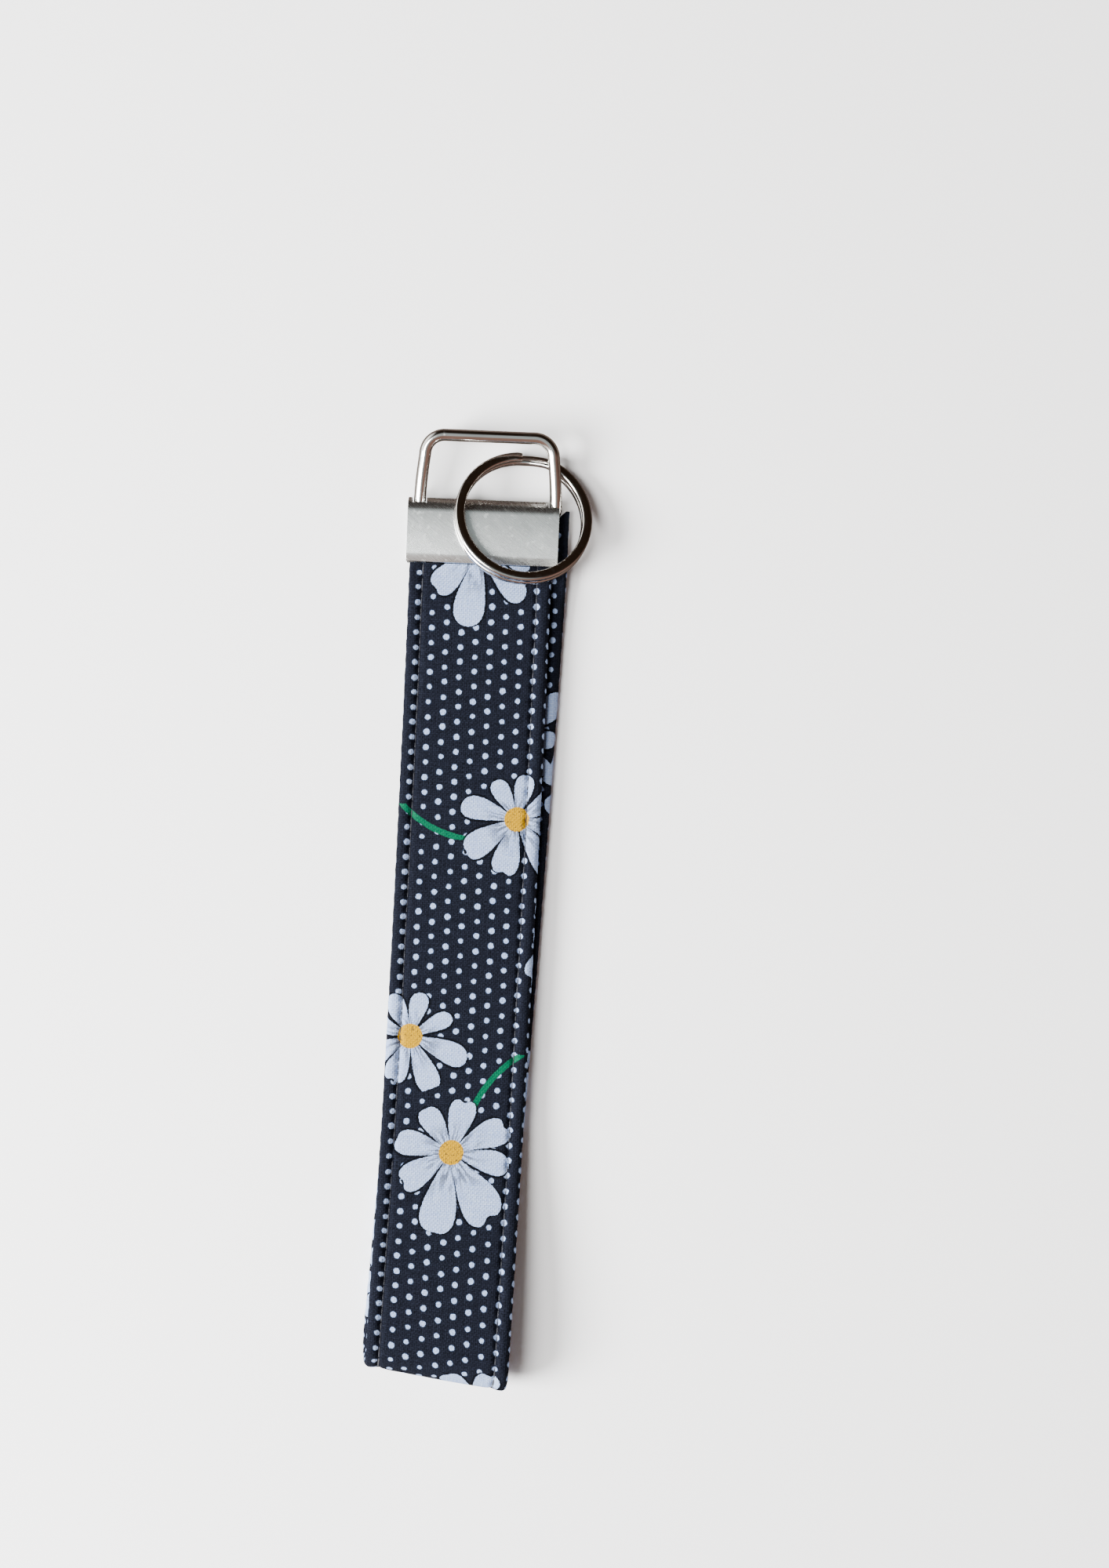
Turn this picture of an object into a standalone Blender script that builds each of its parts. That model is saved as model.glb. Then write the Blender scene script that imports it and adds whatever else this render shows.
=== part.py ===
"""Wristlet keychain: a fabric wrist strap folded into a loop, crimped in a metal clamp with a bail and a split ring.

The keychain lies flat. +X runs across the strap, +Y along it towards the hardware, and +Z up, away from the
surface it lies on. The clamp's mouth is at Y = 0 while the parts are made, and the whole model is then moved
so that its origin is under the middle of its bounding box.
"""

import math

import bmesh
import bpy
from mathutils import Matrix, Vector

MM = 0.001

# Clamp: one strip of sheet steel folded over the strap's two ends
CLAMP_WIDTH = 26.3 * MM
CLAMP_LENGTH = 11.3 * MM
CLAMP_THICKNESS = 5.4 * MM
SHEET = 0.8 * MM
LIP_LENGTH = 1.5 * MM
LIP_DROP = 0.45 * MM
LIP_KNEE = 0.3
LIP_KNEE_DROP = 0.45
LIP_INNER_DROP = 0.5
TOOTH_PITCH = 3.2 * MM
TOOTH_DEPTH = 0.3 * MM

# Bail: one bent wire whose ends hook into the clamp's fold
WIRE = 2.1 * MM
BAIL_FOOT_WIDTH = 25.8 * MM
BAIL_TOP_WIDTH = 24.4 * MM
BAIL_RISE = 12.0 * MM
BAIL_CORNER = 4.4 * MM
BAIL_ASIDE = 0.6 * MM
HOOK_LENGTH = 4.2 * MM
HOOK_BEND = 1.5 * MM
BAIL_SWING = math.radians(60.0)
NOTCH_CLEARANCE = 0.25 * MM
NOTCH_EAR_MIN = 0.4 * MM

# Split ring: two flat turns of wire joined by one step
RING_DIAMETER = 24.0 * MM
RING_WIRE_WIDTH = 1.7 * MM
RING_WIRE_HEIGHT = 1.25 * MM
RING_COIL_GAP = 0.1 * MM
RING_STEP_AT = math.radians(75.0)
RING_STEP_SPAN = math.radians(16.0)
RING_UP_LEG = 6.1 * MM
RING_ASIDE = -0.15 * MM
RING_DOWNHILL = math.radians(62.0)
RING_TABLE_GAP = 0.2 * MM
RING_CLAMP_GAP = 0.15 * MM
RING_LEG_GAP = 0.45 * MM
LEAN_GUESS = 0.3
LEAN_LIMIT = 0.9
LEAN_ROUNDS = 12
LEAN_PLACES = 180

# Strap: a fabric sleeve round a strip of interfacing, folded in half
STRAP_WIDTH = 24.7 * MM
STRAP_LENGTH = 141.4 * MM
LAYER = 2.0 * MM
SLEEVE_WALL = 0.55 * MM
CORE_CLEARANCE = 0.15 * MM
LAYER_GAP = 0.2 * MM
TABLE_GAP = 0.02 * MM
FOLD_GAP = 5.0 * MM
FOLD_RISE_LENGTH = 45.0 * MM
FOLD_SLANT = 0.14
SLANT_LENGTH = 30.0 * MM
FRONT_SHIFT = -0.2 * MM
STRAP_DRIFT = 1.7 * MM
STRAP_BOW = 0.15 * MM
BACK_SHIFT_AT_CLAMP = 2.7 * MM
BACK_SHIFT_AT_FOLD = -1.0 * MM
SEGMENT_GAP = 0.4 * MM
STATIONS_NEAR_CLAMP = (0.2, 0.45, 0.75, 1.0, 1.5, 2.0)
STATIONS_NEAR_FOLD = (0.95, 0.75, 0.55, 0.35, 0.2, 0.1)
STATION_SPACE = 0.5 * MM
FREE_END_GAP = 0.6 * MM

# Where the clamp grips the strap
GRIP_CLEARANCE = 0.15 * MM
TAIL_GAP = 0.3 * MM
PINCH_CLEARANCE = 0.18 * MM
PINCH_GAP = 0.14 * MM
PINCH_LENGTH = 8.0 * MM
TAIL_RAMP = 1.4 * MM
TAIL_TO_WIRE = 0.5 * MM

# Sewing thread
THREAD = 0.3 * MM
SEAM_INSET = 2.4 * MM
EDGE_ROUNDING = 0.3
POCKET_MIN = 0.12 * MM
POCKET_CORNER = ((0.70, 1.0), (0.85, 0.98), (0.95, 0.92), (1.0, 0.75))
GROOVE_WIDTH = 0.8 * MM
GROOVE_DEPTH = 0.5 * MM
THREAD_DEPTH = 0.18 * MM
END_STITCH_INSET = 1.3 * MM
END_STITCH_DIP = 0.5 * MM

FOLD_RADIUS = (FOLD_GAP + LAYER) / 2
FOLD_OUTER = FOLD_RADIUS + LAYER / 2
STRAIGHT = STRAP_LENGTH - FOLD_OUTER
HALF = STRAP_LENGTH / 2
PIVOT_Y = CLAMP_LENGTH - CLAMP_THICKNESS / 2
PIVOT_Z = CLAMP_THICKNESS / 2
TAIL_END = PIVOT_Y - WIRE / 2 - TAIL_TO_WIRE
CLAMP_HALF_INSIDE = CLAMP_THICKNESS / 2 - SHEET
MOUTH_HALF_INSIDE = CLAMP_HALF_INSIDE - LIP_DROP - TOOTH_DEPTH
GRIP_LAYER = CLAMP_HALF_INSIDE - GRIP_CLEARANCE - TAIL_GAP / 2
PINCH_LAYER = MOUTH_HALF_INSIDE - PINCH_CLEARANCE - PINCH_GAP / 2
RING_RADIUS = (RING_DIAMETER - RING_WIRE_WIDTH) / 2
RING_HALF_HEIGHT = RING_WIRE_HEIGHT + RING_COIL_GAP / 2
SEAM_X = STRAP_WIDTH / 2 - SEAM_INSET
BACK_Z = TABLE_GAP + LAYER / 2
FRONT_Z = BACK_Z + LAYER + LAYER_GAP
FOLD_Z = BACK_Z + FOLD_RADIUS
FOLD_TOP_Z = FOLD_Z + FOLD_RADIUS

STEEL = ("nickel_steel", (0.62, 0.63, 0.61, 1.0), 0.32, 1.0)
WIRE_METAL = ("polished_nickel", (0.70, 0.68, 0.65, 1.0), 0.14, 1.0)
RING_METAL = ("nickel_ring_wire", (0.66, 0.63, 0.60, 1.0), 0.12, 1.0)
PRINTED_COTTON = ("printed_cotton", (0.016, 0.020, 0.033, 1.0), 0.92, 0.0)
CORE_FELT = ("interfacing", (0.80, 0.79, 0.75, 1.0), 0.95, 0.0)
DARK_THREAD = ("sewing_thread", (0.012, 0.013, 0.020, 1.0), 0.60, 0.0)


def clear_scene():
    for item in list(bpy.data.objects):
        bpy.data.objects.remove(item, do_unlink=True)


def smooth(t):
    """0 below 0, 1 above 1, and an easy curve between them."""
    t = min(max(t, 0.0), 1.0)
    return t * t * (3.0 - 2.0 * t)


def material(finish):
    name, colour, roughness, metallic = finish
    made = bpy.data.materials.get(name) or bpy.data.materials.new(name)
    made.use_nodes = True
    shader = made.node_tree.nodes["Principled BSDF"]
    shader.inputs["Base Color"].default_value = colour
    shader.inputs["Roughness"].default_value = roughness
    shader.inputs["Metallic"].default_value = metallic
    return made


def add_object(name, data, finish):
    made = bpy.data.objects.new(name, data)
    bpy.context.scene.collection.objects.link(made)
    data.materials.append(material(finish))
    return made


def mesh_object(name, bm, finish):
    bmesh.ops.recalc_face_normals(bm, faces=bm.faces)
    mesh = bpy.data.meshes.new(name)
    bm.to_mesh(mesh)
    bm.free()
    mesh.shade_smooth()
    mesh.set_sharp_from_angle(angle=math.radians(40.0))
    return add_object(name, mesh, finish)


def empty(name, location):
    made = bpy.data.objects.new(name, None)
    made.empty_display_size = 5 * MM
    made.location = location
    bpy.context.scene.collection.objects.link(made)
    return made


def parent_to(child, parent):
    """Parents a piece and leaves it where it is."""
    bpy.context.view_layer.update()
    child.parent = parent
    child.matrix_parent_inverse = parent.matrix_world.inverted()


def skin_rings(bm, rings, closed):
    """Walls between rings of equal count, with both ends capped or the last ring joined to the first."""
    loops = [[bm.verts.new(point) for point in ring] for ring in rings]
    pairs = list(zip(loops, loops[1:]))
    if closed:
        pairs.append((loops[-1], loops[0]))
    for first, second in pairs:
        for a, b, c, d in zip(first, first[1:] + first[:1], second[1:] + second[:1], second):
            bm.faces.new((a, b, c, d))
    if not closed:
        bm.faces.new(loops[0])
        bm.faces.new(loops[-1])


def tube_along(name, points, diameter, sides, finish):
    """A round wire or thread with filled ends along a list of points."""
    curve = bpy.data.curves.new(name, "CURVE")
    curve.dimensions = "3D"
    curve.bevel_depth = diameter / 2
    curve.bevel_resolution = sides // 2 - 2
    curve.use_fill_caps = True
    spline = curve.splines.new("POLY")
    spline.points.add(len(points) - 1)
    for spot, point in zip(spline.points, points):
        spot.co = (*point, 1.0)
    return add_object(name, curve, finish)


def arc(centre, radius, start, end, steps):
    """Points of an arc in a plane, given as (across, along)."""
    angles = [start + (end - start) * i / steps for i in range(steps + 1)]
    return [(centre[0] + radius * math.cos(a), centre[1] + radius * math.sin(a)) for a in angles]


# ---- the strap's shape -----------------------------------------------------------------------------------


def front_x(s):
    """The front layer's middle, s along the strap from the clamp's mouth."""
    return FRONT_SHIFT - STRAP_DRIFT * (max(s, 0.0) / STRAP_LENGTH) ** 2


def back_x(s):
    share = max(s, 0.0) / STRAIGHT
    return front_x(s) + BACK_SHIFT_AT_CLAMP + (BACK_SHIFT_AT_FOLD - BACK_SHIFT_AT_CLAMP) * share


def fold_x(turn):
    share = turn / math.pi
    return front_x(STRAIGHT) + BACK_SHIFT_AT_FOLD * (1.0 - smooth(share))


def pinch_z(side):
    """The height of a layer's middle at the clamp's mouth. side is +1 for the front and -1 for the back."""
    return PIVOT_Z + side * (PINCH_LAYER + PINCH_GAP) / 2


def grip_z(side):
    return PIVOT_Z + side * (CLAMP_HALF_INSIDE - GRIP_CLEARANCE - GRIP_LAYER / 2)


def layer_thickness(s):
    return PINCH_LAYER + (LAYER - PINCH_LAYER) * smooth(s / PINCH_LENGTH)


def layer_z(side, s):
    gap = PINCH_GAP + (LAYER_GAP - PINCH_GAP) * smooth(s / PINCH_LENGTH)
    between = PIVOT_Z + ((BACK_Z + FRONT_Z) / 2 - PIVOT_Z) * smooth(s / (2 * PINCH_LENGTH))
    rise = smooth((s - STRAIGHT + FOLD_RISE_LENGTH) / FOLD_RISE_LENGTH) if side > 0 else 0.0
    bow = STRAP_BOW * math.sin(math.pi * min(max(s / STRAIGHT, 0.0), 1.0))
    return between + bow + side * (layer_thickness(s) + gap) / 2 + (FOLD_TOP_Z - FRONT_Z) * rise


def slant(s):
    return FOLD_SLANT * smooth((s - STRAIGHT + SLANT_LENGTH) / SLANT_LENGTH)


def layer_station(side, s):
    """(middle, across, outward, thickness) of a layer at s."""
    x = front_x(s) if side > 0 else back_x(s)
    step = 0.5 * MM
    climb = (layer_z(side, s + step) - layer_z(side, s - step)) / (2 * step)
    outward = Vector((0.0, side * climb, side * 1.0)).normalized()
    return Vector((x, -s, layer_z(side, s))), Vector((1.0, -slant(s), 0.0)), outward, layer_thickness(s)


def fold_station(turn):
    """The same for the fold, where turn runs from 0 at the back layer to pi at the front layer."""
    away = Vector((0.0, -math.sin(turn), -math.cos(turn)))
    middle = Vector((fold_x(turn), -STRAIGHT, FOLD_Z)) + away * FOLD_RADIUS
    return middle, Vector((1.0, -FOLD_SLANT, 0.0)), away, LAYER


def tail_station(side, y, dip=0.0):
    """The same for a gripped end, y inside the clamp's mouth. dip thins it for the end stitch."""
    out = smooth((y - LIP_LENGTH - TOOTH_DEPTH) / TAIL_RAMP)
    thickness = PINCH_LAYER + (GRIP_LAYER - PINCH_LAYER) * out - dip
    z = pinch_z(side) + (grip_z(side) - pinch_z(side)) * out - side * dip / 2
    x = front_x(0.0) if side > 0 else back_x(0.0)
    return Vector((x, y, z)), Vector((1.0, 0.0, 0.0)), Vector((0.0, 0.0, side)), thickness


def place(station, u, v):
    middle, across, outward, _ = station
    return middle + across * u + outward * v


def sleeve_outline(thickness, grooved):
    """The sleeve's outer section as (across, outward) pairs, with a seam groove near each edge."""
    h = thickness / 2
    edge = STRAP_WIDTH / 2
    depth = GROOVE_DEPTH if grooved else 0.0
    right = [
        (SEAM_X - GROOVE_WIDTH / 2, h),
        (SEAM_X, h - depth),
        (SEAM_X + GROOVE_WIDTH / 2, h),
        (edge - h, h),
        (edge - EDGE_ROUNDING * h, (1.0 - EDGE_ROUNDING) * h),
        (edge, 0.0),
        (edge - EDGE_ROUNDING * h, (EDGE_ROUNDING - 1.0) * h),
        (edge - h, -h),
    ]
    return right + [(-u, v) for u, v in reversed(right)]


def core_half_width():
    return SEAM_X - GROOVE_WIDTH / 2 - SLEEVE_WALL - CORE_CLEARANCE


def sleeve_hollow(thickness, grow):
    """The pocket in the sleeve, matched point for point with the outline. grow is its play round the core."""
    h = max(thickness / 2 - SLEEVE_WALL * thickness / LAYER, POCKET_MIN) - CORE_CLEARANCE + grow
    w = core_half_width() + grow
    corner = [(u * w, v * h) for u, v in POCKET_CORNER]
    right = corner + [(u, -v) for u, v in reversed(corner)]
    return right + [(-u, v) for u, v in reversed(right)]


def make_sleeve(name, stations, grooved):
    outer = []
    hollow = []
    for station in stations:
        outer.append([place(station, u, v) for u, v in sleeve_outline(station[3], grooved)])
        hollow.append([place(station, u, v) for u, v in sleeve_hollow(station[3], CORE_CLEARANCE)])
    bm = bmesh.new()
    skin_rings(bm, outer + hollow[::-1], closed=True)
    return mesh_object(name, bm, PRINTED_COTTON)


def make_core(name, stations):
    rings = []
    for station in stations:
        outline = sleeve_hollow(station[3], 0.0)
        corners = [outline[i] for i in (0, 3, 4, 7, 8, 11, 12, 15)]
        rings.append([place(station, u, v) for u, v in corners])
    bm = bmesh.new()
    skin_rings(bm, rings, closed=False)
    return mesh_object(name, bm, CORE_FELT)


def make_topstitch(name, stations, hand):
    """One row of topstitching, lying in the seam groove. hand is -1 for the left row and +1 for the right."""
    points = [place(s, hand * SEAM_X, s[3] / 2 - THREAD_DEPTH) for s in stations]
    return tube_along(name, points, THREAD, 6, DARK_THREAD)


def spread(start, end, count):
    return [start + (end - start) * i / (count - 1) for i in range(count)]


def layer_stations(side, start, end):
    """Stations close together where the layer changes height or thickness, and far apart where it is straight."""
    near_clamp = [PINCH_LENGTH * share for share in STATIONS_NEAR_CLAMP]
    near_fold = [STRAIGHT - FOLD_RISE_LENGTH * share for share in STATIONS_NEAR_FOLD]
    midway = [(start + end) / 2] if end < STRAIGHT - FOLD_RISE_LENGTH else []
    first, last = start + STATION_SPACE, end - STATION_SPACE
    inner = [s for s in near_clamp + midway + near_fold if first < s < last]
    return [layer_station(side, s) for s in [start, *inner, end]]


def make_strap():
    """{node: object} for each stretch of the strap between two bends, grouped by body."""
    gap = SEGMENT_GAP / 2
    fold_turn_gap = gap / FOLD_RADIUS
    stretches = {
        "back_upper": layer_stations(-1, gap, HALF - gap),
        "back_lower": layer_stations(-1, HALF + gap, STRAIGHT - gap),
        "fold": [fold_station(t) for t in spread(fold_turn_gap, math.pi - fold_turn_gap, 9)],
        "front_lower": layer_stations(1, HALF + gap, STRAIGHT - gap),
        "front_upper": layer_stations(1, FREE_END_GAP, HALF - gap),
    }
    made = {}
    for name, stations in stretches.items():
        made[name] = [
            make_sleeve(f"sleeve_{name}", stations, grooved=True),
            make_core(f"interfacing_{name}", stations),
            make_topstitch(f"topstitch_left_{name}", stations, -1),
            make_topstitch(f"topstitch_right_{name}", stations, 1),
        ]
    return made


def make_tails():
    """The strap's two gripped ends and the stitch that holds them together."""
    stitch_y = TAIL_END - END_STITCH_INSET
    ramp = LIP_LENGTH + TOOTH_DEPTH
    dip_half = THREAD
    plain = [SEGMENT_GAP / 2, ramp, ramp + TAIL_RAMP / 2, ramp + TAIL_RAMP]
    made = []
    for side, name in ((-1, "back_tail"), (1, "front_tail")):
        dip = END_STITCH_DIP if side > 0 else 0.0
        stations = [tail_station(side, y) for y in plain]
        stations.append(tail_station(side, stitch_y - 2 * dip_half))
        stations.append(tail_station(side, stitch_y - dip_half, dip))
        stations.append(tail_station(side, stitch_y + dip_half, dip))
        stations.append(tail_station(side, stitch_y + 2 * dip_half))
        stations.append(tail_station(side, TAIL_END))
        made.append(make_sleeve(f"sleeve_{name}", stations, grooved=False))
        made.append(make_core(f"interfacing_{name}", stations))
    surface = tail_station(1, stitch_y)
    left = place(surface, -SEAM_X, GRIP_LAYER / 2 - THREAD / 2)
    right = place(surface, SEAM_X, GRIP_LAYER / 2 - THREAD / 2)
    made.append(tube_along("end_stitch", [left, right], THREAD, 6, DARK_THREAD))
    return made


# ---- the hardware ----------------------------------------------------------------------------------------


def clamp_section(tooth):
    """The folded sheet seen from the side, as (along, up) pairs. tooth lowers the lips' inner edges."""
    outer = CLAMP_THICKNESS / 2
    inner = CLAMP_HALF_INSIDE
    drop = outer - LIP_DROP
    knee = (LIP_KNEE * LIP_LENGTH, outer - LIP_KNEE_DROP * LIP_DROP)
    front_outer = [(0.0, drop), knee, (LIP_LENGTH, outer)]
    middle = (LIP_LENGTH, inner - LIP_INNER_DROP * LIP_DROP)
    front_inner = [(0.0, inner - LIP_DROP - tooth), middle, (2 * LIP_LENGTH, inner)]
    fold_outer = arc((PIVOT_Y, 0.0), outer, math.pi / 2, -math.pi / 2, 12)
    fold_inner = arc((PIVOT_Y, 0.0), inner, -math.pi / 2, math.pi / 2, 12)
    back_outer = [(y, -z) for y, z in reversed(front_outer)]
    back_inner = [(y, -z) for y, z in front_inner]
    return front_outer + fold_outer + back_outer + back_inner + fold_inner + front_inner[::-1]


def notch_cutter(hand):
    """A wedge about the bail's pivot that clears one leg over the bail's whole swing.

    Where the sheet left beside it would be a sliver, it cuts the fold's whole corner away.
    """
    spare = math.asin(min((WIRE / 2 + NOTCH_CLEARANCE) / CLAMP_HALF_INSIDE, 1.0))
    tilt = bail_tilt()
    reach = 1.5 * CLAMP_THICKNESS
    near = hand * (BAIL_FOOT_WIDTH / 2 - WIRE - NOTCH_CLEARANCE) + BAIL_ASIDE
    far = hand * (BAIL_FOOT_WIDTH / 2 + NOTCH_CLEARANCE) + BAIL_ASIDE
    if CLAMP_WIDTH / 2 - abs(far) < NOTCH_EAR_MIN:
        far = hand * CLAMP_WIDTH
    outline = [(0.0, 0.0)] + arc((0.0, 0.0), reach, tilt - BAIL_SWING - spare, tilt + spare, 8)
    rings = [[Vector((x, PIVOT_Y + y, PIVOT_Z + z)) for y, z in outline] for x in (near, far)]
    bm = bmesh.new()
    skin_rings(bm, rings, closed=False)
    cutter = mesh_object("notch_cutter", bm, STEEL)
    cutter.hide_render = True
    cutter.display_type = "WIRE"
    return cutter


def make_clamp():
    count = 2 * max(round(CLAMP_WIDTH / TOOTH_PITCH), 2) + 1
    rings = []
    for i, x in enumerate(spread(-CLAMP_WIDTH / 2, CLAMP_WIDTH / 2, count)):
        section = clamp_section(TOOTH_DEPTH if i % 2 else 0.0)
        rings.append([Vector((x, y, PIVOT_Z + z)) for y, z in section])
    bm = bmesh.new()
    skin_rings(bm, rings, closed=False)
    clamp = mesh_object("clamp", bm, STEEL)
    for hand in (-1, 1):
        cut = clamp.modifiers.new("notch", "BOOLEAN")
        cut.operation = "DIFFERENCE"
        cut.object = notch_cutter(hand)
    return clamp


def bail_outline():
    """The wire's centreline in the bail's own plane, as (across, up) from its pivot."""
    foot = BAIL_FOOT_WIDTH / 2 - WIRE / 2
    top = BAIL_TOP_WIDTH / 2 - WIRE / 2
    height = CLAMP_THICKNESS / 2 + BAIL_RISE - WIRE / 2
    corner = BAIL_CORNER - WIRE / 2
    hook = [(foot - HOOK_LENGTH, 0.0)] + arc((foot - HOOK_BEND, HOOK_BEND), HOOK_BEND, -math.pi / 2, 0.0, 4)
    right = hook + arc((top - corner, height - corner), corner, 0.0, math.pi / 2, 6)
    return right + [(-x, y) for x, y in reversed(right)]


def make_bail():
    tilt = Matrix.Rotation(bail_tilt(), 4, "X")
    pivot = Vector((BAIL_ASIDE, PIVOT_Y, PIVOT_Z))
    points = [tilt @ Vector((x, y, 0.0)) + pivot for x, y in bail_outline()]
    return tube_along("bail", points, WIRE, 10, WIRE_METAL)


def ring_section():
    w = RING_WIRE_WIDTH / 2
    h = RING_WIRE_HEIGHT / 2
    bevel = 0.3 * h
    right = [(w - bevel, -h), (w, -h + bevel), (w, h - bevel), (w - bevel, h)]
    return right + [(-u, v) for u, v in reversed(right)]


def make_ring():
    """Two flat turns: the wire steps from the upper turn to the lower one between its own two ends."""
    level = (RING_WIRE_HEIGHT + RING_COIL_GAP) / 2
    steps = 72
    start = RING_STEP_AT + RING_STEP_SPAN
    total = 4 * math.pi - 2 * RING_STEP_SPAN
    rings = []
    for i in range(steps + 1):
        along = total * i / steps
        crossing = (along - total / 2) / (2 * RING_STEP_SPAN) + 0.5
        height = level * (1.0 - 2.0 * smooth(crossing))
        angle = start + along
        out = Vector((math.cos(angle), math.sin(angle), 0.0))
        middle = out * RING_RADIUS + Vector((0.0, 0.0, height))
        rings.append([middle + out * u + Vector((0.0, 0.0, v)) for u, v in ring_section()])
    bm = bmesh.new()
    skin_rings(bm, rings, closed=False)
    ring = mesh_object("split_ring", bm, RING_METAL)
    right, up, normal = ring_axes()
    ring.location = ring_centre()
    ring.rotation_euler = Matrix((right, up, normal)).transposed().to_euler()
    return ring


def ring_lowest():
    """The lowest point of the ring's middle line, under the bail's right leg, which the ring tips up about."""
    foot = (BAIL_FOOT_WIDTH - WIRE) / 2 + BAIL_ASIDE
    lean = (BAIL_FOOT_WIDTH - BAIL_TOP_WIDTH) / 2 / BAIL_RISE
    y = CLAMP_LENGTH + RING_UP_LEG
    return Vector((foot - lean * (y - PIVOT_Y) + RING_ASIDE, y, RING_HALF_HEIGHT + RING_TABLE_GAP))


def clamp_top(y):
    """The height of the clamp's front at y."""
    over = max(y - PIVOT_Y, 0.0)
    return PIVOT_Z + math.sqrt(max((CLAMP_THICKNESS / 2) ** 2 - over * over, 0.0))


def ring_tilt():
    """The least lean at which the ring's underside clears the front of the clamp."""
    lowest = ring_lowest()
    downhill = Vector((math.cos(RING_DOWNHILL), math.sin(RING_DOWNHILL)))
    sideways = Vector((-downhill.y, downhill.x))
    tilt = LEAN_GUESS
    for _ in range(LEAN_ROUNDS):
        needed = 0.0
        for i in range(LEAN_PLACES):
            angle = 2 * math.pi * i / LEAN_PLACES
            for radius in (RING_RADIUS - RING_WIRE_WIDTH / 2, RING_RADIUS + RING_WIRE_WIDTH / 2):
                uphill = RING_RADIUS - radius * math.cos(angle)
                spot = lowest.xy - downhill * uphill * math.cos(tilt) + sideways * radius * math.sin(angle)
                if abs(spot.x) > CLAMP_WIDTH / 2 or not 0.0 <= spot.y <= CLAMP_LENGTH:
                    continue
                height = clamp_top(spot.y) + RING_CLAMP_GAP + RING_HALF_HEIGHT * math.cos(tilt)
                needed = max(needed, (height - lowest.z) / uphill)
        tilt = math.asin(min(needed, LEAN_LIMIT))
    return tilt


def ring_axes():
    """The ring's own X, Y and Z as it leans on the clamp."""
    lean = math.sin(ring_tilt())
    normal = Vector((lean * math.cos(RING_DOWNHILL), lean * math.sin(RING_DOWNHILL), math.sqrt(1.0 - lean * lean)))
    right = Vector((normal.z, 0.0, -normal.x)).normalized()
    return right, normal.cross(right), normal


def ring_centre():
    normal = ring_axes()[2]
    uphill = Vector((-normal.x, -normal.y, 1.0 / normal.z - normal.z)).normalized()
    return ring_lowest() + uphill * RING_RADIUS


def bail_tilt():
    """The bail lies on the ring that passes under its right leg."""
    lowest = ring_lowest()
    height = lowest.z + RING_HALF_HEIGHT + RING_LEG_GAP + WIRE / 2
    return math.atan2(height - PIVOT_Z, lowest.y - PIVOT_Y)


# ---- the assembly ----------------------------------------------------------------------------------------


def hinge_places():
    """Where each bend of the loop turns, as (along, up): on the side that closes as the loop opens."""
    return {
        "back_upper": (0.0, pinch_z(-1)),
        "back_lower": (-HALF, layer_z(-1, HALF) + LAYER / 2),
        "fold": (-STRAIGHT, TABLE_GAP),
        "front_lower": (-STRAIGHT, FOLD_TOP_Z + LAYER / 2),
        "front_upper": (-HALF, layer_z(1, HALF) - LAYER / 2),
    }


def assemble():
    origin = empty("keychain_origin", (0.0, 0.0, 0.0))
    for piece in [make_clamp(), *make_tails()]:
        parent_to(piece, origin)
    bail_hinge = empty("bail_hinge", (0.0, PIVOT_Y, PIVOT_Z))
    parent_to(bail_hinge, origin)
    parent_to(make_bail(), bail_hinge)
    tip = empty("ring_hinge", ring_lowest())
    parent_to(tip, bail_hinge)
    parent_to(make_ring(), tip)
    above = origin
    strap = make_strap()
    for body, (y, z) in hinge_places().items():
        hinge = empty(f"{body}_hinge", (0.0, y, z))
        parent_to(hinge, above)
        for piece in strap[body]:
            parent_to(piece, hinge)
        above = hinge
    return origin


def stand_on_origin(origin):
    """Moves the assembly so that the world origin is under the middle of its bounding box."""
    bpy.context.view_layer.update()
    graph = bpy.context.evaluated_depsgraph_get()
    low = Vector((math.inf, math.inf, math.inf))
    high = -low
    for item in bpy.context.scene.objects:
        if item.type == "EMPTY" or item.hide_render:
            continue
        mesh = item.evaluated_get(graph).to_mesh()
        for vert in mesh.vertices:
            point = item.matrix_world @ vert.co
            low = Vector(map(min, low, point))
            high = Vector(map(max, high, point))
        item.evaluated_get(graph).to_mesh_clear()
    origin.location = (-(low.x + high.x) / 2, -(low.y + high.y) / 2, -low.z)


def main():
    clear_scene()
    origin = assemble()
    for item in bpy.context.scene.objects:
        if item.hide_render:
            parent_to(item, origin)
    stand_on_origin(origin)


main()
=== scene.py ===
"""The finished look of a cotton wristlet keychain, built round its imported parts."""

import math

import bmesh
import bpy
from bpy.props import FloatProperty, FloatVectorProperty, IntProperty, PointerProperty
from mathutils import Matrix, Vector, noise

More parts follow.
